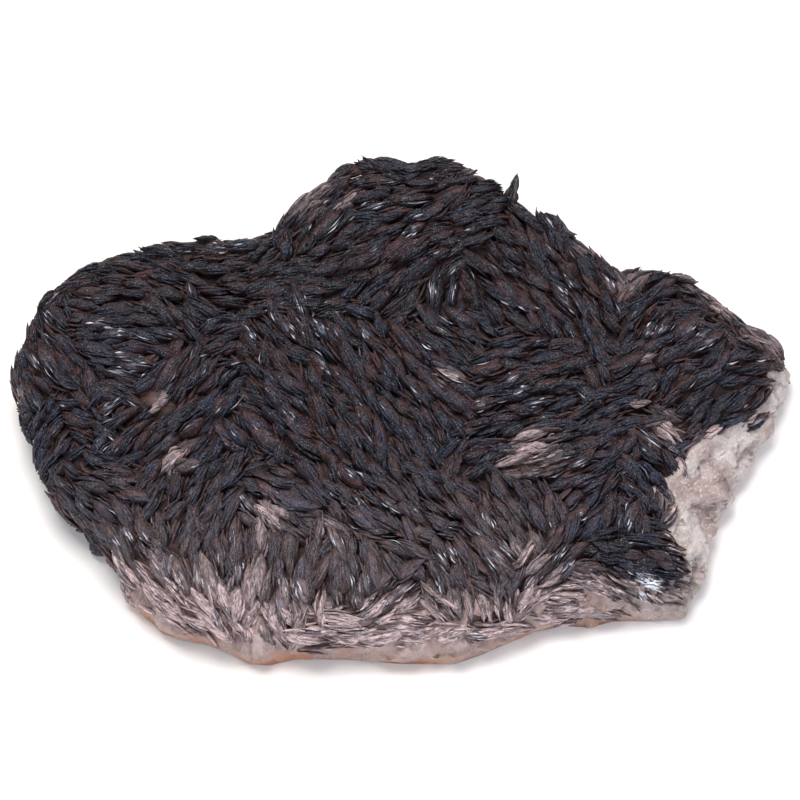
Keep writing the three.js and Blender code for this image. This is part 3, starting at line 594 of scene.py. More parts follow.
@dataclass
class Stack:
    """Parallel blades about the middle of a packet, as arrays with one value a blade, in mm and degrees.

    Bruising, dust and stain go from 0 to 1, and shade from black to blue. A solid blade is a body.
    """

    aside: Array
    along: Array
    drop: Array
    length: Array
    height: Array
    thick: Array
    bow: Array
    turn: Array
    tilt: Array
    shade: Array
    bruise: Array
    dust: Array
    stain: Array
    solid: Array

    @classmethod
    def joined(cls, stacks: list["Stack"]) -> "Stack":
        """Joins stacks in one."""
        return cls(*(np.concatenate([getattr(s, f.name) for s in stacks]) for f in fields(cls)))


@dataclass
class Blades:
    """Many blades as arrays with one row a blade, in mm."""

    tip: list[Array] = field(default_factory=list)
    along: list[Array] = field(default_factory=list)
    rise: list[Array] = field(default_factory=list)
    stack: list[Stack] = field(default_factory=list)
    clearance: float = 0.4  # between the lowest blade and the table
    ceiling: float = 38.5  # above which no blade stands
    pattern_reach: float = 400.0  # how far apart blades take their places in the material's pattern

    def add(self, tip: Array, along: Array, rise: Array, stack: Stack) -> None:
        """Adds blades.

        Args:
            tip: the middles of their upper edges.
            along: the directions of their length.
            rise: the directions from their roots to their upper edges.
            stack: their sizes and looks.
        """
        self.tip.append(tip)
        self.along.append(along)
        self.rise.append(rise)
        self.stack.append(stack)

    def mesh(
        self, name: str, shapes: list[BladeShape], odds: tuple[Array, Array], rng: np.random.Generator
    ) -> bpy.types.Object:
        """Joins the blades in one mesh.

        Args:
            name: the piece's name.
            shapes: the shapes that the blades choose from.
            odds: how often a thin blade chooses each shape, and a body.
            rng: the source of the choice and of each blade's place in the pattern of its material.

        Returns:
            The piece, with its attributes, in metres.
        """
        stack = Stack.joined(self.stack)
        tip, rise = np.vstack(self.tip), unit(np.vstack(self.rise))
        along = np.vstack(self.along)
        along = unit(along - rise * np.sum(along * rise, axis=1, keepdims=True))
        face = np.cross(rise, along)
        thin, body = (rng.choice(len(shapes), size=len(tip), p=p / p.sum()) for p in odds)
        chosen = np.where(stack.solid > 0, body, thin)
        size = np.column_stack([stack.length / 2, stack.thick, stack.height])
        looks = {label: getattr(stack, label) for label in ("shade", "bruise", "dust", "stain")}
        points, corners, sides, grain, spot, order = [], [], [], [], [], []
        start = 0
        for kind, shape in enumerate(shapes):
            rows = np.flatnonzero(chosen == kind)
            count = len(shape.points)
            local = shape.points[None] * size[rows][:, None]
            local[:, :, 1] += stack.bow[rows, None] * shape.points[None, :, 0] ** 2
            centre = tip[rows] - rise[rows] * size[rows, 2:]
            axes = np.stack([along[rows], face[rows], rise[rows]], axis=1)
            placed = centre[:, None] + local @ axes
            placed[:, :, 2] += np.maximum(self.clearance - placed[:, :, 2].min(axis=1), 0)[:, None]
            placed[:, :, 2] -= np.maximum(placed[:, :, 2].max(axis=1) - self.ceiling, 0)[:, None]
            points.append(placed.reshape(-1, 3))
            moved = rng.uniform(-self.pattern_reach, self.pattern_reach, (len(rows), 1, 3))
            grain.append((local + moved).reshape(-1, 3))
            depth = size[rows, 2:, None] * (1 - shape.points[None, :, 2:])
            share = np.broadcast_to(np.abs(shape.points[None, :, :1]), depth.shape)
            spot.append(np.concatenate([share, np.zeros_like(depth), depth], axis=2).reshape(-1, 3))
            order.append(np.repeat(rows, count))
            first = start + count * np.arange(len(rows))
            corners.append((np.concatenate(shape.faces)[None] + first[:, None]).ravel())
            sides.append(np.tile([len(f) for f in shape.faces], len(rows)))
            start += count * len(rows)
        mesh = mesh_of(name, np.vstack(points), np.concatenate(corners), np.concatenate(sides))
        set_attribute(mesh, "grain", np.vstack(grain) * MM)
        set_attribute(mesh, "spot", np.vstack(spot))
        for label, values in looks.items():
            set_attribute(mesh, label, values[np.concatenate(order)])
        return placed_piece(name, mesh)


def mesh_of(name: str, points: Array, corners: Array, sides: Array) -> bpy.types.Mesh:
    """Makes a mesh of arrays.

    Args:
        name: the mesh's name.
        points: its vertices, in mm.
        corners: the vertex at each corner, face by face.
        sides: the number of corners of each face.

    Returns:
        The mesh.
    """
    mesh = bpy.data.meshes.new(name)
    mesh.vertices.add(len(points))
    write_points(mesh, points)
    mesh.loops.add(len(corners))
    mesh.loops.foreach_set("vertex_index", corners.astype(np.int32))
    mesh.polygons.add(len(sides))
    mesh.polygons.foreach_set("loop_start", (np.cumsum(sides) - sides).astype(np.int32))
    mesh.update(calc_edges=True)
    return mesh


def set_attribute(mesh: bpy.types.Mesh, label: str, values: Array) -> None:
    """Writes a number or a vector for each vertex of a mesh.

    Args:
        mesh: the mesh.
        label: the attribute's name.
        values: what it is at each vertex.
    """
    vector = values.ndim == 2
    attribute = mesh.attributes.new(label, "FLOAT_VECTOR" if vector else "FLOAT", "POINT")
    attribute.data.foreach_set("vector" if vector else "value", values.astype(np.float32).ravel())


def placed_piece(name: str, mesh: bpy.types.Mesh) -> bpy.types.Object:
    """Makes an object of a mesh, at the origin.

    Args:
        name: the object's name.
        mesh: its mesh.

    Returns:
        The object.
    """
    piece = bpy.data.objects.new(name, mesh)
    bpy.context.scene.collection.objects.link(piece)
    return piece


@dataclass(frozen=True)
class Packet:
    """A packet of parallel blades, where the display plane shows it."""

    across: float
    up: float
    heading: float
    tone: Tone

    @classmethod
    def read(cls, entry: str) -> "Packet":
        """Reads an entry of the table of packets."""
        across, up, heading, *tone = entry.split()
        return cls(float(across), float(up), float(heading), Tone(tone[0]) if tone else Tone.PLAIN)


@dataclass(frozen=True)
class Spindle:
    """How spindles vary: each a thick body, with thin ridges that stand a little out of its slopes.

    Sizes are in mm and angles in degrees. A pair is a range, and a spread is that of a normal draw.
    """

    length: Span = (8.0, 13.0)
    width: Span = (1.8, 3.1)
    height: Span = (3.6, 4.6)
    size_spread: float = 0.15
    ridges: tuple[int, int] = (5, 6)
    ridge_place: float = 0.9  # of the outermost ridges, as a share of the half-width
    ridge_jitter: float = 0.16
    ridge_shift: Span = (-2.2, 2.2)  # along the body
    ridge_length: Span = (0.5, 1.0)  # as a share of the body's
    ridge_thickness: Span = (0.35, 0.75)
    bruised_thickness: float = 0.65  # as a share of the usual
    proud: Span = (0.15, 0.75)  # how far ridges stand out of the body
    drop: Span = (-0.7, 1.2)
    shift_spread: float = 0.4
    roundness: float = 0.4  # how far the edge lies below the crest, as a share of the width
    bow_spread: float = 0.25
    edge_bow: float = 0.6  # how far the ridges at the edges bow to the middle, as a share of the width
    turn_spread: float = 4.0
    lean_spread: float = 13.0
    most_lean: float = 26.0
    blue_lean: float = 14.0  # blue packets show more of their faces, whose blue is partly painted reflection
    fan: float = 14.0  # how far the ridges at the edges tilt
    tilt_spread: float = 5.0
    dark_shade: float = 0.15
    usual_shade: float = 0.5
    blue_shade: float = 0.95
    shade_spread: float = 0.18
    ridge_shade_spread: float = 0.24
    painted_groove_shade: float = 0.3  # painted shade: how much darker the body is, so the grooves between its ridges read dark
    # Scattered slight bruises are partly real bruises and partly painted glints.
    bruise_and_glint_odds: float = 0.04
    slight_bruise_and_glint: Span = (0.3, 0.9)
    full_bruise: Span = (0.8, 1.4)
    bruised_blades: tuple[float, ...] = (0.15, 1.0, 1.0, 0.6)  # the body's share, then three ridges'
    dust: float = 0.35  # of dusted packets
    stain: float = -0.27
    stain_spread: float = 0.18
    ridge_stain_spread: float = 0.26
    edge_stain: float = 0.2
    body_stain: float = 0.3

    def grown(
        self, rng: np.random.Generator, aside: float, along: float, tone: Tone, scale: float
    ) -> Stack:
        """Makes one spindle.

        Args:
            rng: the source of its irregularities.
            aside: how far its middle is to the side of the packet's.
            along: how far its middle is along from the packet's.
            tone: what marks the packet out.
            scale: its size, where 1 is usual.

        Returns:
            The body and its ridges.
        """
        count = int(rng.integers(*self.ridges, endpoint=True))
        blades = count + 1
        scale *= rng.lognormal(0, self.size_spread)
        wide = rng.uniform(*self.width) * scale
        longest = rng.uniform(*self.length) * scale
        lean = float(np.clip(rng.normal(0, self.lean_spread), -self.most_lean, self.most_lean))
        lean += self.blue_lean if tone is Tone.BLUE else 0
        shade = {Tone.DARK: self.dark_shade, Tone.BLUE: self.blue_shade}.get(tone, self.usual_shade)
        shade += rng.normal(0, self.shade_spread)
        places = np.linspace(-self.ridge_place, self.ridge_place, count)
        share = np.append(0, places + rng.uniform(-self.ridge_jitter, self.ridge_jitter, count))
        ridge = np.append(0, np.ones(count))
        # A few ridges anywhere get a short white dash: partly a bruise, partly a painted glint.
        struck_and_glint = rng.uniform(size=blades) < self.bruise_and_glint_odds
        bruise = np.where(struck_and_glint, rng.uniform(*self.slight_bruise_and_glint, blades), 0) * ridge
        if tone is Tone.BRUISED:
            bruised = len(self.bruised_blades)
            bruise[:bruised] = rng.uniform(*self.full_bruise, bruised) * self.bruised_blades
            rng.shuffle(bruise[1:])
        proud = ridge * rng.uniform(*self.proud, blades)
        thin = rng.uniform(*self.ridge_thickness, blades)
        thin *= np.where(bruise > 0, self.bruised_thickness, 1)
        return Stack(
            aside=aside + share * wide / 2,
            along=along
            + rng.normal(0, self.shift_spread, blades)
            + ridge * rng.uniform(*self.ridge_shift, blades),
            drop=self.roundness * wide * share**2 - proud - rng.uniform(*self.drop),
            length=longest * np.where(ridge, rng.uniform(*self.ridge_length, blades), 1),
            height=rng.uniform(*self.height) * np.ones(blades),
            thick=np.where(ridge, thin, wide),
            bow=rng.normal(0, self.bow_spread) - self.edge_bow * share * wide,
            turn=rng.normal(0, self.turn_spread) + ridge * rng.normal(0, self.turn_spread, blades),
            tilt=lean + self.fan * share + ridge * rng.normal(0, self.tilt_spread, blades),
            # The body is drawn darker as painted shade in the grooves between the ridges.
            shade=shade + rng.normal(0, self.ridge_shade_spread, blades) - self.painted_groove_shade * (1 - ridge),
            bruise=bruise,
            dust=np.full(blades, self.dust if tone is Tone.DUSTED else 0.0),
            stain=rng.normal(self.stain, self.stain_spread)
            + rng.normal(0, self.ridge_stain_spread, blades) * ridge
            + self.edge_stain * share**2
            + self.body_stain * (1 - ridge),
            solid=1 - ridge,
        )


@dataclass(frozen=True)
class Strands:
    """How the thin stained blades that lie lower down about a packet's spindles vary."""

    number: tuple[int, int] = (4, 5)
    reach: float = 3.4  # from the packet's middle
    drop: Span = (1.8, 3.4)
    length: Span = (8.0, 12.5)
    height: Span = (2.4, 3.4)
    thickness: Span = (0.45, 0.9)
    bow_spread: float = 0.25
    turn_spread: float = 9.0
    tilt_spread: float = 14.0
    shade: Span = (0.4, 0.2)  # middle and spread
    stain: Span = (0.7, 0.25)  # middle and spread
    dust: float = 0.03
    packet_dust: float = 0.3  # in dusted packets

    def grown(self, rng: np.random.Generator, tone: Tone, scale: float) -> Stack:
        """Scatters one packet's strands.

        Args:
            rng: the source of their irregularities.
            tone: what marks the packet out.
            scale: the packet's size, where 1 is usual.

        Returns:
            The blades.
        """
        count = int(rng.integers(*self.number, endpoint=True))
        reach = self.reach * scale
        return Stack(
            aside=rng.uniform(-reach, reach, count),
            along=rng.uniform(-reach, reach, count),
            drop=rng.uniform(*self.drop, count),
            length=rng.uniform(*self.length, count),
            height=rng.uniform(*self.height, count),
            thick=rng.uniform(*self.thickness, count),
            bow=rng.normal(0, self.bow_spread, count),
            turn=rng.normal(0, self.turn_spread, count),
            tilt=rng.normal(0, self.tilt_spread, count),
            shade=rng.normal(*self.shade, count),
            bruise=np.zeros(count),
            dust=np.full(count, self.packet_dust if tone is Tone.DUSTED else self.dust),
            stain=rng.normal(*self.stain, count),
            solid=np.zeros(count),
        )


@dataclass
class Dusting:
    """The pale dust of the stone on the crust, from 0 to 1: in patches and along the front edge."""

    relief: Relief
    patch_dust: float = 0.42
    patch_edge: float = 1.3  # where a patch ends, in radii
    edge_share: float = 1.15  # at the crust's very edge
    edge_reach: tuple[Span, ...] = (
        (-80, 1.0), (-70, 2.0), (-60, 7.5), (-40, 9.0), (-25, 8.0), (-12, 5.5), (20, 4.5), (34, 5.0),
        (50, 5.5), (56, 2.5), (64, 1.5), (100, 1.0),
    )  # how far in from the crust's front edge it reaches, at places across
    veil: float = 0.1  # over the front as a whole
    veil_place: Span = (50.0, -15.0)  # across and up, the corner of the veil
    veil_fading: float = 20.0

    def at(self, x: Array, y: Array, up: Array) -> Array:
        """How much dust lies at points.

        Args:
            x: plan positions.
            y: plan positions.
            up: how far up the display plane they lie.

        Returns:
            A share for each.
        """
        front = distance_to_line(self.relief.crust_rim[COVERED_POINTS - 1 :], x, y)
        reach = np.interp(x, *np.array(self.edge_reach).T)
        patches = np.clip(self.patch_edge - nearness(PALE_PATCHES, x, up), 0, 1) * self.patch_dust
        return np.clip(np.maximum(patches, self.edge_share - front / reach), 0, 1)

    def veil_at(self, x: Array, up: Array) -> Array:
        """How much the thin veil over the front adds at display-plane places."""
        across, above = self.veil_place
        return self.veil * np.clip(np.minimum(above - up, across - x) / self.veil_fading, 0, 1)


def fitted_to_crust(piece: bpy.types.Object) -> bpy.types.Object:
    """Fits a piece in place of the crust's node and reports it.

    Args:
        piece: a piece of the crust.

    Returns:
        The same piece.
    """
    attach(piece, "root")
    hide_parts("bladed_crust")
    LOG.info("%s: %d faces", piece.name, len(piece.data.polygons))
    return piece


@dataclass
class Crust:
    """The crust of blades, grown packet by packet where the display plane shows them."""

    relief: Relief
    dusting: Dusting
    spindle: Spindle = field(default_factory=Spindle)
    strands: Strands = field(default_factory=Strands)
    seed: int = 7
    variants: int = 3  # of each habit
    # How packets stand, in degrees where they are angles.
    facing: float = 0.82  # how far the blades turn from the envelope's outward direction to the viewer
    levelling: float = 0.8  # how far their length is laid along the envelope
    heading_spread: float = 5.0
    dip: float = 6.0  # how far packets dip lengthwise
    blade_dip: float = 3.0
    least_rise: float = 0.5  # the upward share of the direction that a packet of the top rises in
    wall_drop: float = 0.4  # the share of their drop that the packets of the wall keep
    second_odds: float = 0.12  # of a second spindle in a packet
    second_aside: Span = (2.4, 3.2)
    second_along: Span = (-4.0, 4.0)
    second_scale: float = 0.75
    rim_sink: float = -1.3  # blades lie on the stone along the front
    rim_scale: float = 1.25
    gap_depth: float = 3.0
    most_moved: float = 2.5  # of a blade to the envelope
    moved_inside: float = 1.2
    # How the blades near the outline are kept in it.
    overhang: float = 0.3
    most_overhang: float = 6.0
    ends: float = 0.47  # where a blade's end is taken to be, as a share of its length
    end_shift: float = 0.65
    end_cut: float = 0.7
    shortest: float = 4.5
    stoutness: float = 0.42  # the most that a shortened blade's height is of its length
    rooting_reach: float = 8.0
    rooting_cut: float = 0.3
    # How the dust, the shade and the painted shade towards the back vary.
    dust_kinds: Span = (0.25, 1.2)  # little and much dusted blades
    dust_odds: Span = (0.35, 0.65)
    dust_spread: float = 0.06
    painted_back_shade: float = 0.3  # painted shade: how much darker the blades towards the back are drawn
    back_start: float = -5.0
    back_fading: float = 40.0
    frost_above: float = 9.0
    frost_edge: float = 1.2  # where frost ends, in radii
    frost_sharpness: float = 3.0
    # The packets between the others.
    filler_count: int = 262
    filler_sink: float = 1.1
    filler_trials: int = 9000
    filler_inside: float = 1.5
    filler_jitter: float = 1.2
    filler_spread: float = 13.0
    # The packets inside the back and left rim.
    brow_inside: Span = (1.2, 2.6)
    brow_spacing: Span = (3.2, 4.6)
    brow_spread: float = 6.0
    # The packets of the back and left wall.
    wall_rows: int = 5
    wall_top: float = 0.9  # how far the top row lies below the rim, in rows
    wall_margin: float = 7.0
    wall_stagger: float = 7.0
    wall_spacing: Span = (5.95, 8.05)
    wall_inside: Span = (1.3, 1.2)  # at the rim, and what is added at the foot
    wall_clear: Span = (1.5, 3.5)  # of the foot and of the rim
    wall_slant: Span = (15.0, 30.0)  # at the foot, and what is added at the rim
    wall_rise: Span = (-0.2, 0.5)  # at the foot, and what is added at the rim
    wall_scale: float = 0.92
    spike_scale: float = 0.8

    def __post_init__(self) -> None:
        """Reads the packets and shapes the blades they are made of."""
        self.rng = np.random.default_rng(self.seed)
        self.packets = {
            region: [Packet.read(entry) for entry in text.split(",")] for region, text in PACKETS.items()
        }
        everything = [p for group in self.packets.values() for p in group]
        self.places = np.array([(p.across, p.up) for p in everything])
        self.headings = np.array([p.heading for p in everything])
        habits = [h for h in Habit for _ in range(self.variants)]
        self.shapes = [BladeShape.grown(h, self.rng) for h in habits]
        self.odds = (
            np.array([HABIT_ODDS.get(h, 0) for h in habits], float),
            np.array([h is Habit.BODY for h in habits], float),
        )

    def _packet(
        self,
        into: Blades,
        centre: Array,
        rise: Array,
        line: Array,
        tone: Tone,
        scale: float = 1.0,
        sink: float = 0.0,
        loose: bool = False,
    ) -> None:
        """Grows one packet: one or two spindles and the strands about them.

        Args:
            into: the blades to add to.
            centre: the middle of the packet, on the envelope.
            rise: the direction its blades stand in.
            line: the direction of the blades' length.
            tone: what marks the packet out.
            scale: the packet's size, where 1 is usual.
            sink: how far it lies below the envelope.
            loose: whether it stands out over the outline, level and without strands.
        """
        rng = self.rng
        stacks = [self.spindle.grown(rng, 0, 0, tone, scale)]
        if rng.uniform() < self.second_odds:
            aside = rng.choice([-1, 1]) * rng.uniform(*self.second_aside) * scale
            along = rng.uniform(*self.second_along)
            stacks.append(self.spindle.grown(rng, aside, along, tone, self.second_scale * scale))
        if not loose:
            stacks.append(self.strands.grown(rng, tone, scale))
        stack = Stack.joined(stacks)
        length = unit(line - rise * float(line @ rise))
        side = np.cross(rise, length)
        standing = rise[2] >= self.least_rise
        tips = centre + side * stack.aside[:, None] + length * stack.along[:, None]
        if standing and not loose:
            tips = self._onto_envelope(tips, rise)
        x, y, up = tips[:, 0], tips[:, 1], self.relief.display.up_of(tips)
        gaps = self.gap_depth * np.exp(-(nearness(GAPS, x, up) ** 2))
        drop = stack.drop + sink + gaps if standing else self.wall_drop * stack.drop
        tips -= rise * drop[:, None]
        uneven = rng.choice(self.dust_kinds, len(x), p=self.dust_odds)
        uneven += rng.normal(0, self.dust_spread, len(x))
        stack.dust = stack.dust + self.dusting.veil_at(x, up)
        stack.dust = np.clip(stack.dust + self.dusting.at(x, y, up) * uneven, 0, 1)
        # Painted shade: the blades are drawn darker towards the back of the crust.
        painted_back_share = np.clip((up - self.back_start) / self.back_fading, 0, 1)
        stack.shade = stack.shade - self.painted_back_shade * painted_back_share
        facing = turned(np.tile(length, (len(x), 1)), rise, stack.turn)
        if standing and not loose:
            tips = self._drawn_in(tips, facing, stack)
            self._rooted_inwards(tips, side, stack)
        rising = turned(np.tile(rise, (len(x), 1)), facing, stack.tilt)
        dips = 0 if loose else rng.normal(0, self.dip)
        dips += rng.normal(0, self.blade_dip, len(x))
        into.add(tips, turned(facing, np.tile(side, (len(x), 1)), dips), rising, stack)

    def _onto_envelope(self, points: Array, rise: Array) -> Array:
        """Moves points along a direction towards the envelope.

        Args:
            points: the points.
            rise: the direction.

        Returns:
            The moved points.
        """
        depth, _ = depth_inside(self.relief.crust_rim, points[:, 0], points[:, 1])
        off = (self.relief.crest(points[:, 0], points[:, 1]) - points[:, 2]) * rise[2]
        moved = np.clip(off, -self.most_moved, self.most_moved)
        return points + rise * np.where(depth > self.moved_inside, moved, 0)[:, None]

    def _outside(self, points: Array) -> Array:
        """How far points hang out over the outline, seen square to the display plane or from above.

        Args:
            points: the points.

        Returns:
            A distance for each.
        """
        seen, _ = depth_inside(self.relief.outline, points[:, 0], self.relief.display.up_of(points))
        plan, _ = depth_inside(self.relief.apron, points[:, 0], points[:, 1])
        inside = np.minimum(seen + self.overhang, plan + 2 * self.overhang)
        return np.clip(-inside, 0, self.most_overhang)

    def _drawn_in(self, tips: Array, facing: Array, stack: Stack) -> Array:
        """Shifts and shortens the blades whose ends hang out over the crust's edge.

        Args:
            tips: the middles of the blades' upper edges.
            facing: the directions of their length.
            stack: the blades' sizes, which are changed.

        Returns:
            The shifted middles.
        """
        tips = tips - unit(tips * (1, 1, 0)) * self._outside(tips)[:, None]
        for way in (1, -1, 1, -1):
            out = self._outside(tips + way * facing * (self.ends * stack.length)[:, None])
            tips = tips - way * facing * (self.end_shift * out)[:, None]
            stack.length = np.maximum(stack.length - self.end_cut * out, self.shortest)
        stack.height = np.minimum(stack.height, self.stoutness * stack.length)
        return tips

    def _rooted_inwards(self, tips: Array, side: Array, stack: Stack) -> None:
        """Tilts and lowers the blades near the outline so that their roots stay inside it.

        Args:
            tips: the middles of the blades' upper edges.
            side: the direction across the packet.
            stack: the blades' tilts and heights, which are changed.
        """
        outline, display = self.relief.outline, self.relief.display
        depth, _ = depth_inside(outline, tips[:, 0], display.up_of(tips))
        beside, _ = depth_inside(outline, tips[:, 0] + side[0], display.up_of(tips + side))
        near = np.clip(1 - depth / self.rooting_reach, 0, 1)
        stack.tilt = (1 - near) * stack.tilt + near * np.abs(stack.tilt) * np.sign(beside - depth)
        stack.height = stack.height * (1 - self.rooting_cut * near)

    def _set(
        self, blades: Blades, packet: Packet, turn: float, sink: float = 0.0, scale: float = 1.0
    ) -> None:
        """Grows a packet where the display plane shows it, turned to show its blades' edges.

        Args:
            blades: the blades to add to.
            packet: where it lies.
            turn: how far from its heading, in degrees.
            sink: how far below the envelope.
            scale: its size, where 1 is usual.
        """
        centre = self.relief.in_sight(packet.across, packet.up)
        outward = self.relief.outward(centre[:1], centre[1:2])[0]
        rise = unit(self.facing * self.relief.display.sight + (1 - self.facing) * outward)
        line = self.relief.display.line(packet.heading + turn)
        line -= self.levelling * outward * float(line @ outward)
        self._packet(blades, centre, rise, line, packet.tone, scale, sink)

    def _neighbour(self, across: float, up: float) -> Packet:
        """A plain packet at a display-plane place, with the heading of the nearest one in the table."""
        nearest = int(np.argmin(np.hypot(*(self.places - (across, up)).T)))
        return Packet(across, up, float(self.headings[nearest]), Tone.PLAIN)

    def _along_rim(self, spacing: Span, start: float = 0.0) -> Iterator[tuple[Array, Array]]:
        """Walks the covered part of the rim.

        Args:
            spacing: the least and the most between stops.
            start: where the first stop is.

        Yields:
            A place on the rim and the level direction of the rim there.
        """
        covered = self.relief.rim[:COVERED_POINTS]
        walked = start
        for a, b in zip(covered[:-1], covered[1:]):
            step = float(np.hypot(*(b - a)[:2]))
            while walked < step:
                yield a + (b - a) * (walked / step), unit((b - a) * (1, 1, 0))
                walked += self.rng.uniform(*spacing)
            walked -= step

    def region(self, name: str) -> bpy.types.Object:
        """Grows the packets of one region of the front.

        Args:
            name: the region's key in the table of packets.

        Returns:
            The piece.
        """
        blades = Blades()
        sink, scale = (self.rim_sink, self.rim_scale) if name == "front_rim" else (0.0, 1.0)
        for packet in self.packets[name]:
            self._set(blades, packet, self.rng.normal(0, self.heading_spread), sink, scale)
        return self._finish(blades, f"blades_{name}")

    def fillers(self) -> bpy.types.Object:
        """Grows packets in the widest spaces between the others, in their neighbours' directions.

        Returns:
            The piece.
        """
        blades, rng = Blades(), self.rng
        low, high = self.relief.crust_rim.min(axis=0), self.relief.crust_rim.max(axis=0)
        candidates = rng.uniform(low[:2], high[:2], (self.filler_trials, 2))
        depth, _ = depth_inside(self.relief.crust_rim, *candidates.T)
        x, y = candidates[depth > self.filler_inside].T
        up = self.relief.display.up_of(np.column_stack([x, y, self.relief.crest(x, y)]))
        seen = np.column_stack([x, up])
        near = np.min(np.hypot(*(seen[:, None] - self.places[None]).transpose(2, 0, 1)), axis=1)
        for _ in range(self.filler_count):
            widest = seen[int(np.argmax(near))]
            moved = widest + rng.uniform(-self.filler_jitter, self.filler_jitter, 2)
            packet = replace(self._neighbour(*widest), across=moved[0], up=moved[1])
            self._set(blades, packet, rng.normal(0, self.filler_spread), self.filler_sink)
            near = np.minimum(near, np.hypot(*(seen - widest).T))
        return self._finish(blades, "blades_between")

    def brow(self) -> bpy.types.Object:
        """Grows packets just inside the back and left rim, in their neighbours' directions.

        Returns:
            The piece.
        """
        blades, rng = Blades(), self.rng
        for place, level in self._along_rim(self.brow_spacing):
            x, y = place[:2] - np.array([level[1], -level[0]]) * rng.uniform(*self.brow_inside)
            top = self.relief.crest(x, y)[0]
            up = float(self.relief.display.up_of(np.array([x, y, top])))
            self._set(blades, self._neighbour(x, up), rng.normal(0, self.brow_spread))
        return self._finish(blades, "blades_brow")

    def wall(self) -> bpy.types.Object:
        """Grows packets over the back and left wall, from the rim down to the foot, and the spike.

        Returns:
            The piece.
        """
        blades, rng = Blades(), self.rng
        low, high = self.relief.crust_foot + self.wall_clear[0], self.relief.rim_drop + self.wall_clear[1]
        for row in range(self.wall_rows):
            share = 1 - (row + self.wall_top) / self.wall_rows
            start = self.wall_margin + rng.uniform(0, self.wall_stagger)
            for place, level in self._along_rim(self.wall_spacing, start):
                outward = np.array([level[1], -level[0], 0.0])
                centre = place - outward * np.dot(self.wall_inside, (1, 1 - share))
                centre[2] = low + (place[2] - high - self.relief.crust_foot) * share
                slant = math.radians(rng.normal(0, np.dot(self.wall_slant, (1, share))))
                line = level * math.cos(slant) + UPRIGHT * math.sin(slant)
                rise = unit(outward + UPRIGHT * np.dot(self.wall_rise, (1, share)))
                self._packet(blades, centre, rise, line, Tone.PLAIN, self.wall_scale)
        self._spike(blades)
        return self._finish(blades, "blades_wall")

    def _spike(self, into: Blades) -> None:
        """Stands the one small bundle that clears the rim, beside the crown.

        Args:
            into: the blades to add to.
        """
        display = self.relief.display
        middle = display.in_plan((SPIKE[:3],))[0]
        line = display.line(SPIKE[3])
        self._packet(into, middle, display.sight, line, Tone.DARK, self.spike_scale, loose=True)

    def _finish(self, blades: Blades, name: str) -> bpy.types.Object:
        """Joins a piece's blades, marks its frosted places and fits it to the crust's node.

        Args:
            blades: its blades.
            name: its name.

        Returns:
            The piece.
        """
        piece = blades.mesh(name, self.shapes, self.odds, self.rng)
        points = vertex_points(piece.data)
        near = nearness(FROST, points[:, 0], self.relief.display.up_of(points))
        frost = np.clip(self.frost_sharpness * (self.frost_edge - near), 0, 1)
        set_attribute(piece.data, "frost", np.where(points[:, 2] > self.frost_above, frost, 0))
        return fitted_to_crust(piece)


@dataclass
class Ground:
    """The dark ground that the blades stand in, a closed body under their tips."""

    relief: Relief
    dusting: Dusting
    depth: float = 4.2  # under the envelope
    rim_share: float = 0.4  # of the depth, at the rim
    rim_reach: float = 8.0
    dust_fill: float = 0.55  # the share of the depth that stone dust fills
    lowest: float = 3.4
    rings: int = 44
    inset: float = 3.6
    foot: float = 3.2
    foot_share: float = 0.93
    swell: float = 0.5
    swell_waves: tuple[Wave, Wave] = ((1.9, 0.8, 0.0), (0.0, 2.3, 0.0))
    ripple: float = 0.35
    ripple_wave: Wave = (4.1, -3.3, 0.0)
    smooth_foot: float = 3.0

    def _level(self, x: Array, y: Array) -> Array:
        """Lowers the envelope by the ground's depth, less near the rim and where dust fills it.

        Args:
            x: plan positions.
            y: plan positions.

        Returns:
            The ground's height at each.
        """
        relief = self.relief
        depth, _ = depth_inside(relief.crust_rim, x, y)
        crest = relief.crest(x, y)
        dust = self.dusting.at(x, y, relief.display.up_of(np.column_stack([x, y, crest])))
        inner = np.clip(self.rim_share + depth / self.rim_reach, 0, 1)
        return np.maximum(crest - self.depth * inner * (1 - self.dust_fill * dust), self.lowest)

    def build(self) -> bpy.types.Object:
        """Builds the ground.

        Returns:
            The piece.
        """
        relief = self.relief
        outline = Outline(relief.crust_rim, self.rings, self.inset, self.foot, self.foot_share)
        piece = outline.wrapped("ground", self._level)
        points = vertex_points(piece.data)
        x, y, z = points.T
        first, second = self.swell_waves
        rough = self.swell * wave(x, y, first) * wave(x, y, second)
        rough += self.ripple * wave(x, y, self.ripple_wave)
        points[:, 2] += np.where(z > relief.crust_foot + self.smooth_foot, rough, 0)
        write_points(piece.data, points)
        set_attribute(piece.data, "dust", self.dusting.at(x, y, relief.display.up_of(points)))
        return fitted_to_crust(piece)


def turned(vectors: Array, axes: Array, degrees: Array) -> Array:
    """Turns vectors about axes.

    Args:
        vectors: the vectors.
        axes: an axis of length 1 for each, or one for all.
        degrees: how far to turn each.

    Returns:
        The turned vectors.
    """
    cos, sin = np.cos(np.radians(degrees))[:, None], np.sin(np.radians(degrees))[:, None]
    kept = axes * np.sum(axes * vectors, axis=-1, keepdims=True)
    return vectors * cos + np.cross(axes, vectors) * sin + kept * (1 - cos)


def vertex_points(mesh: bpy.types.Mesh) -> Array:
    """Reads a mesh's vertices.

    Args:
        mesh: the mesh.

    Returns:
        Their places, in mm.
    """
    points = np.empty(len(mesh.vertices) * 3, np.float32)
    mesh.vertices.foreach_get("co", points)
    return points.reshape(-1, 3).astype(float) / MM


def write_points(mesh: bpy.types.Mesh, points: Array) -> None:
    """Writes a mesh's vertices, given in mm."""
    mesh.vertices.foreach_set("co", (points * MM).astype(np.float32).ravel())
    mesh.update()


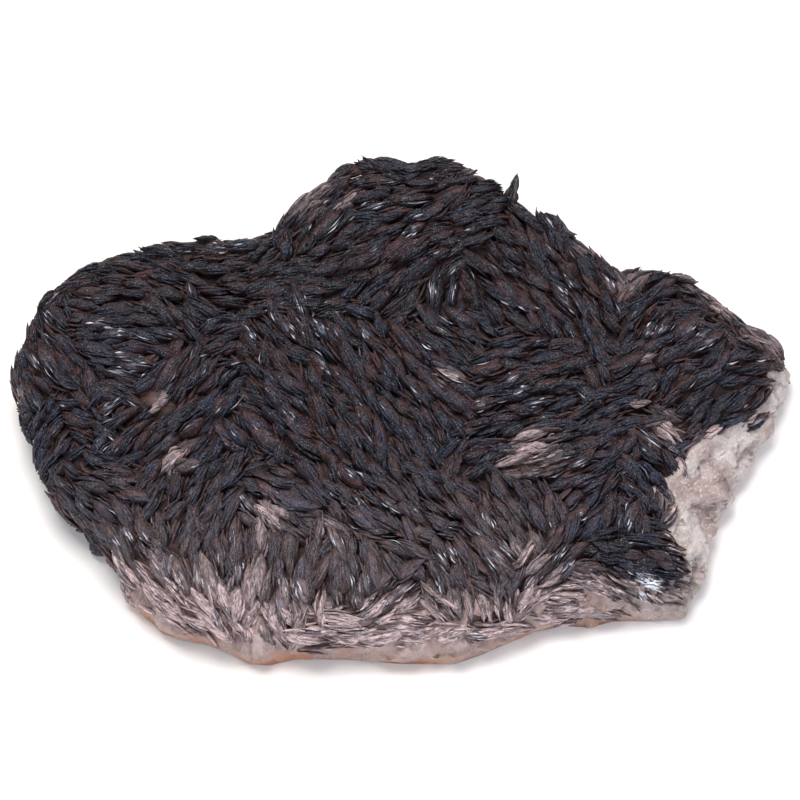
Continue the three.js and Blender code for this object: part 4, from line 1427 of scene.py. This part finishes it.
@dataclass
class Outline:
    """A closed outline in plan, and how a body is wrapped on it."""

    points: Array
    rings: int
    inset: float
    foot: float
    foot_share: float
    crowding: float = 1.3  # above 1 the rings lie closer together near the outline
    wall_rings: int = 4
    tolerance: float = 1e-5

    def _around(self, grid: Array, ring: Array) -> Array:
        """How far round its square ring each grid point lies, in eighths from the middle of the right side.

        Args:
            grid: the grid's points, from -1 to 1 both ways.
            ring: the half-width of each one's ring.

        Returns:
            A share of the whole way round for each, from 0 to 1.
        """
        a, b = (grid / np.maximum(ring, self.tolerance)[:, None]).T
        side = 1 - self.tolerance
        eighths = np.select([a >= side, b >= side, a <= -side], [b, 2 - a, 4 - b], 6 + a)
        return np.where(ring < self.tolerance, 0, eighths / 8 % 1)

    def wrapped(self, name: str, level: Callable[[Array, Array], Array]) -> bpy.types.Object:
        """Wraps a square grid on the outline and closes it with a wall and an underside.

        Args:
            name: the piece's name.
            level: gives the heights at plan positions.

        Returns:
            The piece, in metres.
        """
        mesh = bmesh.new()
        bmesh.ops.create_grid(mesh, x_segments=2 * self.rings, y_segments=2 * self.rings, size=1.0)
        grid = np.array([v.co[:2] for v in mesh.verts])
        ring = np.abs(grid).max(axis=1)
        closed = np.vstack([self.points, self.points[:1]])
        place = self._around(grid, ring) * len(self.points)
        edge_x, edge_y = (np.interp(place, np.arange(len(closed)), closed[:, k]) for k in (0, 1))
        share = (1 - (1 - ring) ** self.crowding) * (1 - self.inset / np.hypot(edge_x, edge_y))
        x, y = edge_x * share, edge_y * share
        for v, *co in zip(mesh.verts, x, y, level(x, y)):
            v.co = Vector(co)
        border = [e for e in mesh.edges if e.is_boundary]
        for left in range(self.wall_rings, 0, -1):
            made = bmesh.ops.extrude_edge_only(mesh, edges=border)["geom"]
            border = [g for g in made if isinstance(g, bmesh.types.BMEdge)]
            for v in {v for e in border for v in e.verts}:
                v.co.z += (self.foot - v.co.z) / left
                v.co.xy *= self.foot_share ** (1 / self.wall_rings)
        bmesh.ops.contextual_create(mesh, geom=border)
        bmesh.ops.scale(mesh, vec=Vector((MM, MM, MM)), verts=mesh.verts[:])
        bmesh.ops.recalc_face_normals(mesh, faces=mesh.faces[:])
        data = bpy.data.meshes.new(name)
        mesh.to_mesh(data)
        mesh.free()
        return placed_piece(name, data)


@dataclass
class Slab:
    """The slab of massive barite: a broken, cleaved surface on a flat foot."""

    relief: Relief
    seed: int = 11
    foot_share: float = 0.985
    rings: int = 90
    inset: float = 0.1
    crowding: float = 1.5
    face_tilt: float = 0.2
    grains: tuple[Span, ...] = ((9.0, 0.6), (3.2, 0.22))  # the cleavage faces' spacing and steps
    stand_out: float = 1.6
    flat_below: float = 0.5
    wall_share: float = 0.35  # how much of its roughness the slab's low wall has
    wall_span: Span = (1.0, 5.0)  # the height that its roughness grows from, and over how much
    rust_height: float = 6.5
    rust_full: float = 1.25
    rust_across: Span = (45.0, 60.0)  # from the full stain of the front to that of the side
    rust_back: Span = (-40.0, 0.0)  # from the front's to that of the back
    side_rust: float = 0.3
    back_rust: float = 0.35
    green_place: Span = (73.0, -49.0)  # across and up
    green_size: Span = (5.0, 6.0)
    front_end: Span = (50.0, 64.0)  # across, between the brownish front, darker partly as painted shade, and the pale side

    def _cleaved(self, points: Array, spacing: float, step: float) -> Array:
        """How far a surface of tilted cleavage faces stands out at each point.

        Args:
            points: positions, in mm.
            spacing: the usual distance between the faces' middles.
            step: how far they stand in front of each other.

        Returns:
            A distance for each point.
        """
        rng = np.random.default_rng(self.seed + int(spacing * 10))
        low, high = points.min(axis=0), points.max(axis=0)
        cells = np.ceil((high - low) / spacing).astype(int) + 1
        corner = np.floor((points - low) / spacing).astype(int)
        seeds = rng.uniform(0, 1, (*cells + 2, 3))
        tilts = rng.normal(0, self.face_tilt, (*cells + 2, 3))
        steps = rng.uniform(-step, step, tuple(cells + 2))
        best, out = np.full(len(points), np.inf), np.zeros(len(points))
        for shift in np.ndindex(3, 3, 3):
            cell = corner + np.array(shift)
            index = tuple(cell.T)
            middle = low + (cell - 1 + seeds[index]) * spacing
            gap = points - middle
            distance = np.einsum("ij,ij->i", gap, gap)
            closer = distance < best
            best = np.where(closer, distance, best)
            out = np.where(closer, np.einsum("ij,ij->i", gap, tilts[index]) + steps[index], out)
        return out

    def build(self) -> bpy.types.Object:
        """Builds the slab.

        Returns:
            The piece.
        """
        relief = self.relief
        outline = Outline(relief.stone_rim, self.rings, self.inset, 0.0, self.foot_share, self.crowding)
        piece = outline.wrapped("slab", relief.stone_top)
        mesh = piece.data
        points = vertex_points(mesh)
        normals = np.empty(len(mesh.vertices) * 3, np.float32)
        mesh.vertices.foreach_get("normal", normals)
        out = sum(self._cleaved(points, spacing, step) for spacing, step in self.grains)
        above, over = self.wall_span
        share = np.clip((points[:, 2] - above) / over, self.wall_share, 1)
        share *= points[:, 2] > self.flat_below
        out = np.clip(out, -self.stand_out, self.stand_out) * share
        points += normals.reshape(-1, 3) * out[:, None]
        points[:, 2] = np.maximum(points[:, 2], 0)
        write_points(mesh, points)
        mesh.shade_smooth()
        for label, values in self._marks(points).items():
            set_attribute(mesh, label, values)
        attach(piece, "root")
        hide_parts("matrix")
        LOG.info("slab: %d faces", len(mesh.polygons))
        return piece

    def _marks(self, points: Array) -> dict[str, Array]:
        """How rusty, how green and how far in the brownish front the slab's points are, from 0 to 1; the
        front's darker tone is partly painted shade.

        Args:
            points: positions, in mm.

        Returns:
            The marks' names and their values at each point.
        """
        x, y, z = points.T
        across, level = self.green_place
        wide, high = self.green_size
        up = self.relief.display.up_of(points)
        rusty = np.interp(x, self.rust_across, (1, self.side_rust))
        rusty *= np.interp(y, self.rust_back, (1, self.back_rust))
        return {
            "rust": np.clip(self.rust_full - z / self.rust_height, 0, 1) * rusty,
            "green": np.exp(-(((x - across) / wide) ** 2) - ((up - level) / high) ** 2),
            "front": np.interp(x, self.front_end, (1, 0)),
        }


# ---- Finishes ------------------------------------------------------------------------------------

Inputs = Mapping[int | str, Any] | Sequence[Any]


def feed(node: bpy.types.Node, inputs: Inputs) -> None:
    """Fills a node's inputs.

    Args:
        node: the node.
        inputs: what each input takes, by its place or its name: a value, or the socket that feeds it.
    """
    for key, value in inputs.items() if isinstance(inputs, Mapping) else enumerate(inputs):
        if isinstance(value, bpy.types.NodeSocket):
            node.id_data.links.new(value, node.inputs[key])
        else:
            node.inputs[key].default_value = value


def add_node(
    tree: bpy.types.NodeTree, kind: str, inputs: Inputs = (), output: int | str = 0, **settings: Any
) -> bpy.types.NodeSocket:
    """Adds a node with its settings and links.

    Args:
        tree: the material's nodes.
        kind: the node's type, without "ShaderNode".
        inputs: what its inputs take, as for feed.
        output: the wanted output's place or name.
        settings: values for its properties.

    Returns:
        The wanted output.
    """
    node = tree.nodes.new(f"ShaderNode{kind}")
    for name, value in settings.items():
        setattr(node, name, value)
    feed(node, inputs)
    return node.outputs[output]


class Finish:
    """A material that one Principled shader makes, from what shader_inputs gives it."""

    name: str

    def shader_inputs(self, add: Callable[..., bpy.types.NodeSocket]) -> dict[str, Any]:
        """Gives the shader's inputs, by name.

        Args:
            add: adds a node to the material, as add_node does.

        Returns:
            The shader's inputs.
        """
        raise NotImplementedError

    def material(self) -> bpy.types.Material:
        """Makes the material.

        Returns:
            The material.
        """
        material = bpy.data.materials.new(self.name)
        material.use_nodes = True
        shader = next(n for n in material.node_tree.nodes if n.type == "BSDF_PRINCIPLED")
        feed(shader, self.shader_inputs(partial(add_node, material.node_tree)))
        return material


BARITE_IOR = 1.64


@dataclass(frozen=True)
class BladedBarite(Finish):
    """Dark barite blades, natural growth faces.

    Inclusions make them blue-black with a satin to glassy lustre along their upper edges, and their blue is
    partly painted reflection. Lower down and at their tips they carry a dull pinkish brown stain, which goes
    to umber deeper down as painted shade. Knocked blades have gone pinkish white, and some short white
    dashes are painted glints. Pale grey crumbs are painted sheen, and small pale specks are partly dust and
    partly painted glints.
    """

    name: str = "bladed_barite"
    deep: str = "#0b0c11"
    # blue: partly the blades' own tone, partly painted reflection on their faces
    blue: str = "#1f273e"
    # umber is the stain's dark tone and also the painted shade deeper down the blades
    umber: str = "#2a1718"
    brown: str = "#563a3a"
    mauve: str = "#987b7e"
    pale: str = "#d8c1c1"
    white: str = "#d9d9e6"
    frost: str = "#eef1fa"
    speck_and_glint: str = "#8f8c93"
    # painted sheen: the pale grey of crumbs laid over the blades
    painted_sheen_grey: str = "#62626c"
    growth_mm: tuple[float, float, float] = (7.143, 0.6667, 0.4545)  # along a blade, through it and up
    patch_mm: float = 1.667
    crumb_mm: float = 0.5263
    fleck_mm: float = 0.3125

    def shader_inputs(self, add: Callable[..., bpy.types.NodeSocket]) -> dict[str, Any]:
        """Lays the stain, dust, bruises and specks over the dark body, with painted shade, sheen and glints.

        Args:
            add: adds a node to the material, as add_node does.

        Returns:
            The shader's inputs.
        """
        grain, spot = (add("Attribute", output="Vector", attribute_name=k) for k in ("grain", "spot"))
        shade, bruise, dust, stain, frost = (
            add("Attribute", output="Fac", attribute_name=k)
            for k in ("shade", "bruise", "dust", "stain", "frost")
        )
        end, _, depth = add("SeparateXYZ", (spot,)).node.outputs
        # Growth lines run along a blade. Real ones are finer, and these are drawn coarse enough to show.
        lines = add("Mapping", {"Vector": grain, "Scale": [to_scale(size) for size in self.growth_mm]})
        streaks = add("TexNoise", {"Vector": lines, "Scale": 1.0, "Detail": 3.0}, "Color")
        streak, string, _ = add("SeparateColor", (streaks,)).node.outputs
        patch, crumb, fleck = (
            add("TexNoise", {"Vector": grain, "Scale": to_scale(size), "Detail": detail})
            for size, detail in ((self.patch_mm, 3.0), (self.crumb_mm, 2.0), (self.fleck_mm, 1.0))
        )
        patchy = add("MapRange", (patch, 0.3, 0.7, -0.35, 0.35))
        stringy = add("MapRange", (string, 0.35, 0.65, -0.3, 0.3))

        lively = add("MapRange", (streak, 0.3, 0.7, -0.3, 0.5))
        tint = add("Math", (shade, 0.5, lively), operation="MULTIPLY_ADD")
        rooted = add("MapRange", (depth, 0.6, 2.0, 0.0, 0.85))
        ended = add("MapRange", (end, 0.6, 1.0, 0.0, 0.45))
        stained = rooted
        for more in (ended, stain, patchy, stringy):
            stained = add("Math", (stained, more))
        # Painted shade: deeper down the blades the brown stain goes to umber; the streaks add the stain's
        # own tone.
        streak_and_painted_depth_shade = add("Math", (add("MapRange", (depth, 1.4, 3.2, 0.0, -0.4)), streak))
        earth, powder = (
            add("Mix", {0: add("MapRange", span), 6: linear(low), 7: linear(high)}, 2, data_type="RGBA")
            for span, low, high in (
                ((streak_and_painted_depth_shade, 0.32, 0.68), self.umber, self.brown),
                ((streak, 0.25, 0.5), self.mauve, self.pale),
            )
        )
        dusty = dust
        for span in ((patch, 0.3, 0.55, 0.45, 1.0), (string, 0.36, 0.56, 0.3, 1.15)):
            dusty = add("Math", (dusty, add("MapRange", span)), operation="MULTIPLY", use_clamp=True)
        crest, middle = add("MapRange", (depth, 0.7, 0.25)), add("MapRange", (end, 0.8, 0.4))
        chipped = add("Math", (bruise, add("MapRange", (streak, 0.38, 0.52))), operation="MULTIPLY")
        for near in (crest, middle):
            chipped = add("Math", (chipped, near), operation="MULTIPLY", use_clamp=True)
        crusted = add("Math", (frost, add("MapRange", (patch, 0.42, 0.5))), operation="MULTIPLY")
        body = linear(self.deep)
        for share, colour in (
            # The blue is partly the blades' own blue-black and partly painted reflection on their faces.
            (add("MapRange", (tint, 0.0, 0.8)), linear(self.blue)),
            # Painted sheen: pale grey crumbs over the blades.
            (add("MapRange", (crumb, 0.5, 0.68, 0.0, 0.36)), linear(self.painted_sheen_grey)),
            (add("MapRange", (stained, 0.05, 0.7, 0.0, 0.95)), earth),
            (dusty, powder),
            (chipped, linear(self.white)),
            # Small pale specks: partly dust, partly painted glints.
            (add("MapRange", (fleck, 0.64, 0.71, 0.0, 0.75)), linear(self.speck_and_glint)),
            (crusted, linear(self.frost)),
        ):
            body = add("Mix", {0: share, 6: body, 7: colour}, 2, data_type="RGBA")
        satin = add("MapRange", (streak, 0.3, 0.7, 0.28, 0.46))
        dull = add("Math", (add("MapRange", (stained, 0.2, 0.8, 0.0, 0.4)), satin))
        height = add("Math", (crumb, 0.9, streak), operation="MULTIPLY_ADD")
        return {
            "Base Color": body,
            "Roughness": dull,
            "IOR": BARITE_IOR,
            "Specular IOR Level": 0.22,
            "Normal": add("Bump", {"Strength": 0.8, "Distance": 0.0006, "Height": height}),
        }


@dataclass(frozen=True)
class CrustGround(Finish):
    """The root of the crust between the blades: dark, iron-stained and dull, paler where stone shows."""

    name: str = "crust_ground"
    dark: str = "#1a1010"
    red: str = "#4a2c2c"
    pale: str = "#9d8480"
    stain_mm: float = 4.0

    def shader_inputs(self, add: Callable[..., bpy.types.NodeSocket]) -> dict[str, Any]:
        """Mixes the stained and the pale ground.

        Args:
            add: adds a node to the material, as add_node does.

        Returns:
            The shader's inputs.
        """
        place = add("TexCoord", output="Object")
        dust = add("Attribute", output="Fac", attribute_name="dust")
        stain = add("TexNoise", {"Vector": place, "Scale": to_scale(self.stain_mm), "Detail": 5.0})
        powder = add("Math", (dust, add("MapRange", (stain, 0.3, 0.5, 0.4, 1.0))), operation="MULTIPLY")
        body = linear(self.dark)
        for share, colour in ((add("MapRange", (stain, 0.42, 0.7)), self.red), (powder, self.pale)):
            body = add("Mix", {0: share, 6: body, 7: linear(colour)}, 2, data_type="RGBA")
        return {
            "Base Color": body,
            "Roughness": 0.8,
            "Normal": add("Bump", {"Strength": 0.6, "Distance": 0.0006, "Height": stain}),
        }


@dataclass(frozen=True)
class MassiveBarite(Finish):
    """Massive barite, broken by hand: pale pinkish grey and waxy, with small cleavage flashes.

    Clear grey-green grains show at the right-hand corner, and an orange-brown stain along the foot. The
    front edge is browner than the side, and darker partly as painted shade, as it faces away from the light.
    """

    name: str = "massive_barite"
    pink: str = "#9d8a87"
    cream: str = "#c4bbb8"
    brown: str = "#7e6864"
    white: str = "#dbd6d3"
    front: str = "#977e7a"
    green: str = "#8e9186"
    rust: str = "#aa7657"
    cloud_mm: float = 8.333
    cleavage_mm: float = 3.03
    sugar_mm: float = 0.6667  # its fine broken grain
    cleavage: float = 0.7  # how steeply the cleavage faces tilt, where 1 is up to about 40 degrees

    def shader_inputs(self, add: Callable[..., bpy.types.NodeSocket]) -> dict[str, Any]:
        """Mixes clouds, grains and stains, and tilts the cleavage faces.

        Args:
            add: adds a node to the material, as add_node does.

        Returns:
            The shader's inputs.
        """
        place = add("TexCoord", output="Object")
        cloud = add("TexNoise", {"Vector": place, "Scale": to_scale(self.cloud_mm), "Detail": 4.0})
        cells = add("TexVoronoi", {"Vector": place, "Scale": to_scale(self.cleavage_mm)}).node.outputs
        sugar = add("TexNoise", {"Vector": place, "Scale": to_scale(self.sugar_mm), "Detail": 3.0})
        tone = add("SeparateColor", (cells["Color"],))
        body = linear(self.pink)
        layers = [
            (add("MapRange", (cloud, 0.38, 0.6)), self.cream),
            (add("MapRange", (tone, 0.6, 1.0, 0.0, 0.5)), self.brown),
            (add("MapRange", (sugar, 0.56, 0.7, 0.0, 0.65)), self.white),
            (add("MapRange", (sugar, 0.44, 0.32, 0.0, 0.35)), self.brown),
        ]
        # The front's browner tone is darker than the stone's own, partly as painted shade.
        for label, colour in (("front", self.front), ("green", self.green), ("rust", self.rust)):
            amount = add("Attribute", output="Fac", attribute_name=label)
            clouded = add("MapRange", (cloud, 0.4, 0.56, 0.25, 1.0))
            layers.append((add("Math", (amount, clouded), operation="MULTIPLY"), colour))
        for share, colour in layers:
            body = add("Mix", {0: share, 6: body, 7: linear(colour)}, 2, data_type="RGBA")
        tilt = add("VectorMath", (cells["Color"], (0.5, 0.5, 0.5)), operation="SUBTRACT")
        reach = add("VectorMath", (place, cells["Position"]), operation="SUBTRACT")
        facet = add("VectorMath", (tilt, reach), "Value", operation="DOT_PRODUCT")
        faceted = add("Bump", {"Strength": 1.0, "Distance": self.cleavage, "Height": facet})
        rough = add("Bump", {"Strength": 0.4, "Distance": 0.0003, "Height": sugar, "Normal": faceted})
        return {
            "Base Color": body,
            "Roughness": add("MapRange", (tone, 0.0, 1.0, 0.3, 0.65)),
            "IOR": BARITE_IOR,
            "Normal": rough,
        }


@dataclass(frozen=True)
class WhiteCard(Finish):
    """Matt white card under the specimen."""

    name: str = "white_card"
    colour: str = "#f6f5f4"

    def shader_inputs(self, add: Callable[..., bpy.types.NodeSocket]) -> dict[str, Any]:
        """Gives one even colour.

        Args:
            add: adds a node, which an even colour doesn't need.

        Returns:
            The shader's inputs.
        """
        return {"Base Color": linear(self.colour), "Roughness": 0.9}


# ---- The studio ----------------------------------------------------------------------------------


@dataclass(frozen=True)
class SoftBox:
    """A square area light."""

    name: str
    place: tuple[float, float, float]
    size: float
    power: float
    colour: str

    def build(self, aim: Vector) -> None:
        """Hangs the light and points it.

        Args:
            aim: where it points.
        """
        light = bpy.data.lights.new(self.name, "AREA")
        light.size = self.size
        light.energy = self.power
        light.color = linear(self.colour)[:3]
        lamp = bpy.data.objects.new(self.name, light)
        lamp.location = Vector(self.place)
        lamp.rotation_euler = (aim - Vector(self.place)).to_track_quat("-Z", "Y").to_euler()
        bpy.context.scene.collection.objects.link(lamp)


@dataclass
class Studio:
    """Floor, soft light and the camera at the display angle."""

    display: DisplayPlane
    distance: float = 2.0
    frame_width: float = 0.200
    aim_height_mm: float = 22.0
    sensor: float = 36.0
    clip: tuple[float, float] = (0.05, 50.0)
    floor_reach: float = 6.0
    sky: str = "#f4f6fa"
    sky_strength: float = 0.34
    boxes: tuple[SoftBox, ...] = (
        SoftBox("key", (-0.15, 0.14, 1.2), 0.65, 15.5, "#fffaf5"),
        SoftBox("front", (-0.2, -1.0, 0.6), 0.9, 6.0, "#f2f6ff"),
        SoftBox("side", (0.9, 0.1, 0.6), 0.6, 3.0, "#f6f2ff"),
    )

    def build(self) -> None:
        """Sets the studio up."""
        _, rise_y, rise_z = self.display.upward
        aim_y = (self.display.up_at_origin - self.aim_height_mm * rise_z) / rise_y
        aim = Vector((0.0, aim_y, self.aim_height_mm)) * MM
        self._camera(aim)
        for box in self.boxes:
            box.build(aim)
        self._sky()
        self._floor()
        bpy.context.scene.view_settings.view_transform = "Standard"

    def _camera(self, aim: Vector) -> None:
        """Stands the camera on the display plane's line of sight.

        Args:
            aim: where it points.
        """
        data = bpy.data.cameras.new("camera")
        data.sensor_width = self.sensor
        data.lens = self.sensor * self.distance / self.frame_width
        data.clip_start, data.clip_end = self.clip
        camera = bpy.data.objects.new("camera", data)
        back = Vector(self.display.sight)
        camera.location = aim + back * self.distance
        camera.rotation_euler = (-back).to_track_quat("-Z", "Y").to_euler()
        bpy.context.scene.collection.objects.link(camera)
        bpy.context.scene.camera = camera

    def _sky(self) -> None:
        """Fills the room with even light."""
        world = bpy.data.worlds.new("studio")
        world.use_nodes = True
        background = next(n for n in world.node_tree.nodes if n.type == "BACKGROUND")
        feed(background, (linear(self.sky), self.sky_strength))
        bpy.context.scene.world = world

    def _floor(self) -> None:
        """Lays the card."""
        mesh = bmesh.new()
        bmesh.ops.create_grid(mesh, x_segments=1, y_segments=1, size=self.floor_reach)
        data = bpy.data.meshes.new("card")
        mesh.to_mesh(data)
        mesh.free()
        card = placed_piece("card", data)
        data.materials.append(WhiteCard().material())
        card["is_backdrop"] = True


def main() -> None:
    """Builds the specimen and the studio."""
    logging.basicConfig(level=logging.INFO, format="%(name)s %(message)s")
    LOG.info("nodes: %s", ", ".join(frame["nodes"]))
    relief = Relief()
    dusting = Dusting(relief)
    crust = Crust(relief, dusting)
    bladed = BladedBarite().material()
    blades = [crust.region(region) for region in PACKETS]
    for piece in (*blades, crust.fillers(), crust.brow(), crust.wall()):
        piece.data.materials.append(bladed)
    Ground(relief, dusting).build().data.materials.append(CrustGround().material())
    Slab(relief).build().data.materials.append(MassiveBarite().material())
    Studio(relief.display).build()
    boxes = {"cad": CAD_BOX, "visual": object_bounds()}
    {label: [list(corner) for corner in box] for label, box in boxes.items()}


if __name__ == "__main__":
    main()
